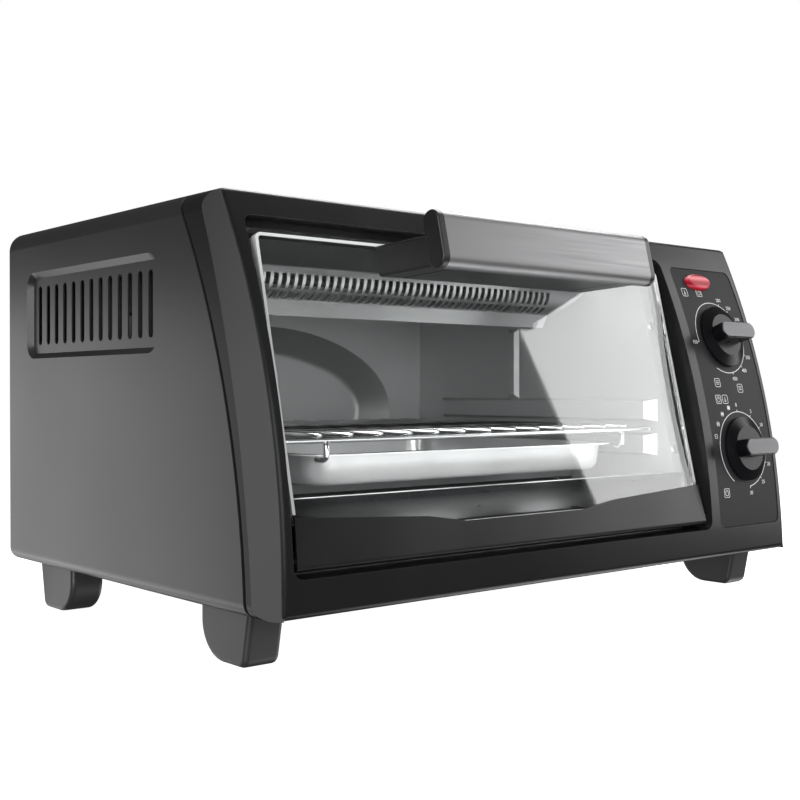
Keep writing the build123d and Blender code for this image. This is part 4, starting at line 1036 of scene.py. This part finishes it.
def number_mesh(text, height, ink):
    """Vertices and faces of a thin number with the given height, centred on its origin."""
    curve = bpy.data.curves.new("number", "FONT")
    curve.body = text
    curve.size = height / DIGIT_SHARE
    curve.align_x, curve.align_y = "CENTER", "CENTER"
    curve.resolution_u = 3
    curve.extrude = ink / 2
    holder = bpy.data.objects.new("number", curve)
    mesh = bpy.data.meshes.new_from_object(holder)
    verts, welded = np.unique(np.round(mesh_points(mesh), 7), axis=0, return_inverse=True)
    faces = [welded.ravel()[list(polygon.vertices)].tolist() for polygon in mesh.polygons]
    bpy.data.objects.remove(holder)
    bpy.data.curves.remove(curve)
    bpy.data.meshes.remove(mesh)
    return verts, faces


def dial_numbers(settings):
    """Numbers round both dials, laid on the curved fascia."""
    shapes = []
    for joint, numbers in DIAL_NUMBERS.items():
        for text, degrees in numbers.items():
            flat, faces = number_mesh(text, settings.number, settings.ink)
            across, up = clock_point(settings.ring + settings.number_gap, degrees)
            lift = flat[:, 2] + settings.ink / 2 - settings.sunk
            shapes.append((on_front(flat[:, 0] + across, flat[:, 1] + up, lift, joint), faces))
    return shapes


def pictogram(kind, size):
    """Closed and open paths of a pictogram in its rounded square, in shares of the square's half size."""
    closed = [rounded_square(size, 40)]
    if kind == "thermometer":
        open_paths = [np.stack([np.zeros(5), np.linspace(-0.1, 0.62, 5) * size], axis=-1)]
        closed.append(circle(0.25 * size, 12) + np.array([0.0, -0.38 * size]))
    elif kind == "clock":
        open_paths = [np.stack([np.zeros(4), np.linspace(0.0, 0.4, 4) * size], axis=-1)]
        closed.append(circle(0.62 * size, 20))
    else:
        level = np.linspace(-0.6, 0.6, 6) * size
        open_paths = [np.stack([level, np.full(6, step * size)], axis=-1) for step in (-0.35, 0.05, 0.45)]
    return closed, open_paths


def pictograms(settings):
    """Small generic signs of heat and time, and squares for the toast shades."""
    shapes = []
    line = SIGN_LINE * settings.line
    for joint, across, up, kind in PICTOGRAMS:
        place = np.array([across, up]) * MM
        closed, open_paths = pictogram(kind, settings.sign)
        shapes += [inked(path + place, settings, joint, True, line) for path in closed]
        shapes += [inked(path + place, settings, joint, False, line) for path in open_paths]
    half = SHADE_HALF * settings.sign
    for step, degrees in enumerate(TOAST_SHADES):
        place = clock_point(settings.ring + SHADE_OUT * settings.sign, degrees)
        square = rounded_square(half, 24) + place
        shapes.append(inked(square, settings, "timer_turn", True, SHADE_LINE * settings.line))
        fill = np.stack([np.linspace(-FILL_HALF, FILL_HALF, 3) * half, np.zeros(3)], axis=-1) + place
        shapes.append(inked(fill, settings, "timer_turn", False, half * FILL_STEP * (step + FILL_START)))
    return shapes


# Half width of the floor, and the camera's sensor in millimetres
FLOOR_HALF = 6.0
SENSOR = 36.0
# Soft lamps: name, place, point aimed at, size and power
LAMPS = (
    ("Key Softbox", (1.1, -0.64, 0.43), (0.0, -0.12, 0.1), (0.6, 0.9), 7.5),
    ("Left Softbox", (-1.36, -0.78, 0.15), (-0.15, -0.1, 0.1), (0.8, 1.1), 15),
    ("Corner Strip", (-1.31, -0.86, 1.1), (-0.18, -0.1, 0.17), (0.5, 0.75), 8),
    ("Front Fill", (-0.35, -1.7, 0.45), (0.0, 0.0, 0.1), (0.9, 0.7), 9),
    ("Side Softbox", (-0.74, 1.3, -0.22), (-0.2, 0.0, 0.1), (0.7, 1.0), 3.7),
    ("Floor Glow", (-0.25, 1.0, -0.5), (-0.2, 0.0, 0.1), (0.6, 0.5), 0.9),
    ("Handle Bounce", (0.54, -0.28, -0.5), (0.0, -0.14, 0.19), (0.6, 0.4), 2.6),
    ("Overhead Strip", (0.57, 0.22, 0.98), (0.0, -0.14, 0.2), (0.8, 0.35), 9),
)


class OVEN_OT_stage(Operator):
    """Make the pale floor, the lamps and the camera"""

    bl_idname = "oven.stage"
    bl_label = "Studio Stage"

    def execute(self, context):
        settings = context.scene.oven_stage
        make_floor()
        make_room(context, settings.ambient)
        for name, place, aim, size, power in LAMPS:
            soft_lamp(name, place, aim, size, power)
        make_camera(context, settings)
        return {"FINISHED"}


def make_floor():
    """Wide pale floor that lets through the lamps below it, which stand for the light it throws back."""
    corners = [(x * FLOOR_HALF, y * FLOOR_HALF, 0) for x, y in ((-1, -1), (1, -1), (1, 1), (-1, 1))]
    mesh = bpy.data.meshes.new("studio_floor")
    mesh.from_pydata(corners, [], [(0, 1, 2, 3)])
    material, _ = new_material(
        "Pale Floor", (0.88, 0.88, 0.88), 0.8, Emission_Color=(1, 1, 1, 1), Emission_Strength=0.95
    )
    mesh.materials.append(material)
    floor = bpy.data.objects.new("studio_floor", mesh)
    floor.visible_diffuse = False
    floor.visible_glossy = False
    floor.visible_shadow = False
    bpy.context.scene.collection.objects.link(floor)


def make_room(context, ambient):
    """Even room light, with a white background behind the oven."""
    world = bpy.data.worlds.new("Studio Room")
    context.scene.world = world
    world.use_nodes = True
    nodes, links = world.node_tree.nodes, world.node_tree.links
    room = nodes["Background"]
    room.inputs["Color"].default_value = (1, 1, 1, 1)
    room.inputs["Strength"].default_value = ambient
    white = nodes.new("ShaderNodeBackground")
    white.inputs["Color"].default_value = (1, 1, 1, 1)
    path = nodes.new("ShaderNodeLightPath")
    mix = nodes.new("ShaderNodeMixShader")
    links.new(path.outputs["Is Camera Ray"], mix.inputs["Fac"])
    links.new(room.outputs["Background"], mix.inputs[1])
    links.new(white.outputs["Background"], mix.inputs[2])
    links.new(mix.outputs["Shader"], nodes["World Output"].inputs["Surface"])


def soft_lamp(name, place, aim, size, power):
    """Large area lamp that faces a point."""
    data = bpy.data.lights.new(name, "AREA")
    data.shape = "RECTANGLE"
    data.size, data.size_y = size
    data.energy = power
    lamp = bpy.data.objects.new(name, data)
    lamp.location = place
    lamp.rotation_mode = "QUATERNION"
    lamp.rotation_quaternion = (Vector(aim) - Vector(place)).to_track_quat("-Z", "Y")
    bpy.context.scene.collection.objects.link(lamp)


def make_camera(context, settings):
    """Camera at the photograph's place."""
    data = bpy.data.cameras.new("Studio Camera")
    data.lens = settings.lens
    data.sensor_width = SENSOR
    data.clip_start = 0.01
    camera = bpy.data.objects.new("Studio Camera", data)
    camera.location = settings.place
    camera.rotation_euler = (math.pi / 2 + settings.pitch, 0.0, -settings.yaw)
    context.scene.collection.objects.link(camera)
    context.scene.camera = camera
    context.scene.view_settings.view_transform = "Standard"


class OVEN_PT_sidebar(Panel):
    """Sidebar panel that lists the pieces of the oven"""

    bl_idname = "OVEN_PT_sidebar"
    bl_label = "Toaster Oven"
    bl_space_type = "VIEW_3D"
    bl_region_type = "UI"
    bl_category = "Oven"

    def draw(self, context):
        for operator in OPERATORS:
            self.layout.operator(operator.bl_idname)


OPERATORS = (
    OVEN_OT_casing,
    OVEN_OT_front,
    OVEN_OT_door,
    OVEN_OT_glass_edge,
    OVEN_OT_cavity,
    OVEN_OT_rack,
    OVEN_OT_tray_lip,
    OVEN_OT_controls,
    OVEN_OT_dial_print,
    OVEN_OT_stage,
)
SETTINGS = {
    "oven_finish": OvenFinishSettings,
    "oven_print": OvenPrintSettings,
    "oven_door": OvenDoorSettings,
    "oven_rack": OvenRackSettings,
    "oven_stage": OvenStageSettings,
}


def register():
    """Register the settings, the operators and the panel."""
    for name, settings in SETTINGS.items():
        bpy.utils.register_class(settings)
        setattr(bpy.types.Scene, name, PointerProperty(type=settings))
    for made in (*OPERATORS, OVEN_PT_sidebar):
        bpy.utils.register_class(made)


def unregister():
    """Remove what register added."""
    for made in (OVEN_PT_sidebar, *reversed(OPERATORS)):
        bpy.utils.unregister_class(made)
    for name, settings in SETTINGS.items():
        delattr(bpy.types.Scene, name)
        bpy.utils.unregister_class(settings)


def main():
    """Dress the oven and build the stage."""
    register()
    bpy.ops.oven.casing()
    bpy.ops.oven.front()
    bpy.ops.oven.door()
    bpy.ops.oven.glass_edge()
    bpy.ops.oven.cavity()
    bpy.ops.oven.rack()
    bpy.ops.oven.tray_lip()
    bpy.ops.oven.controls()
    bpy.ops.oven.dial_print()
    bpy.ops.oven.stage()


if __name__ == "__main__":
    main()
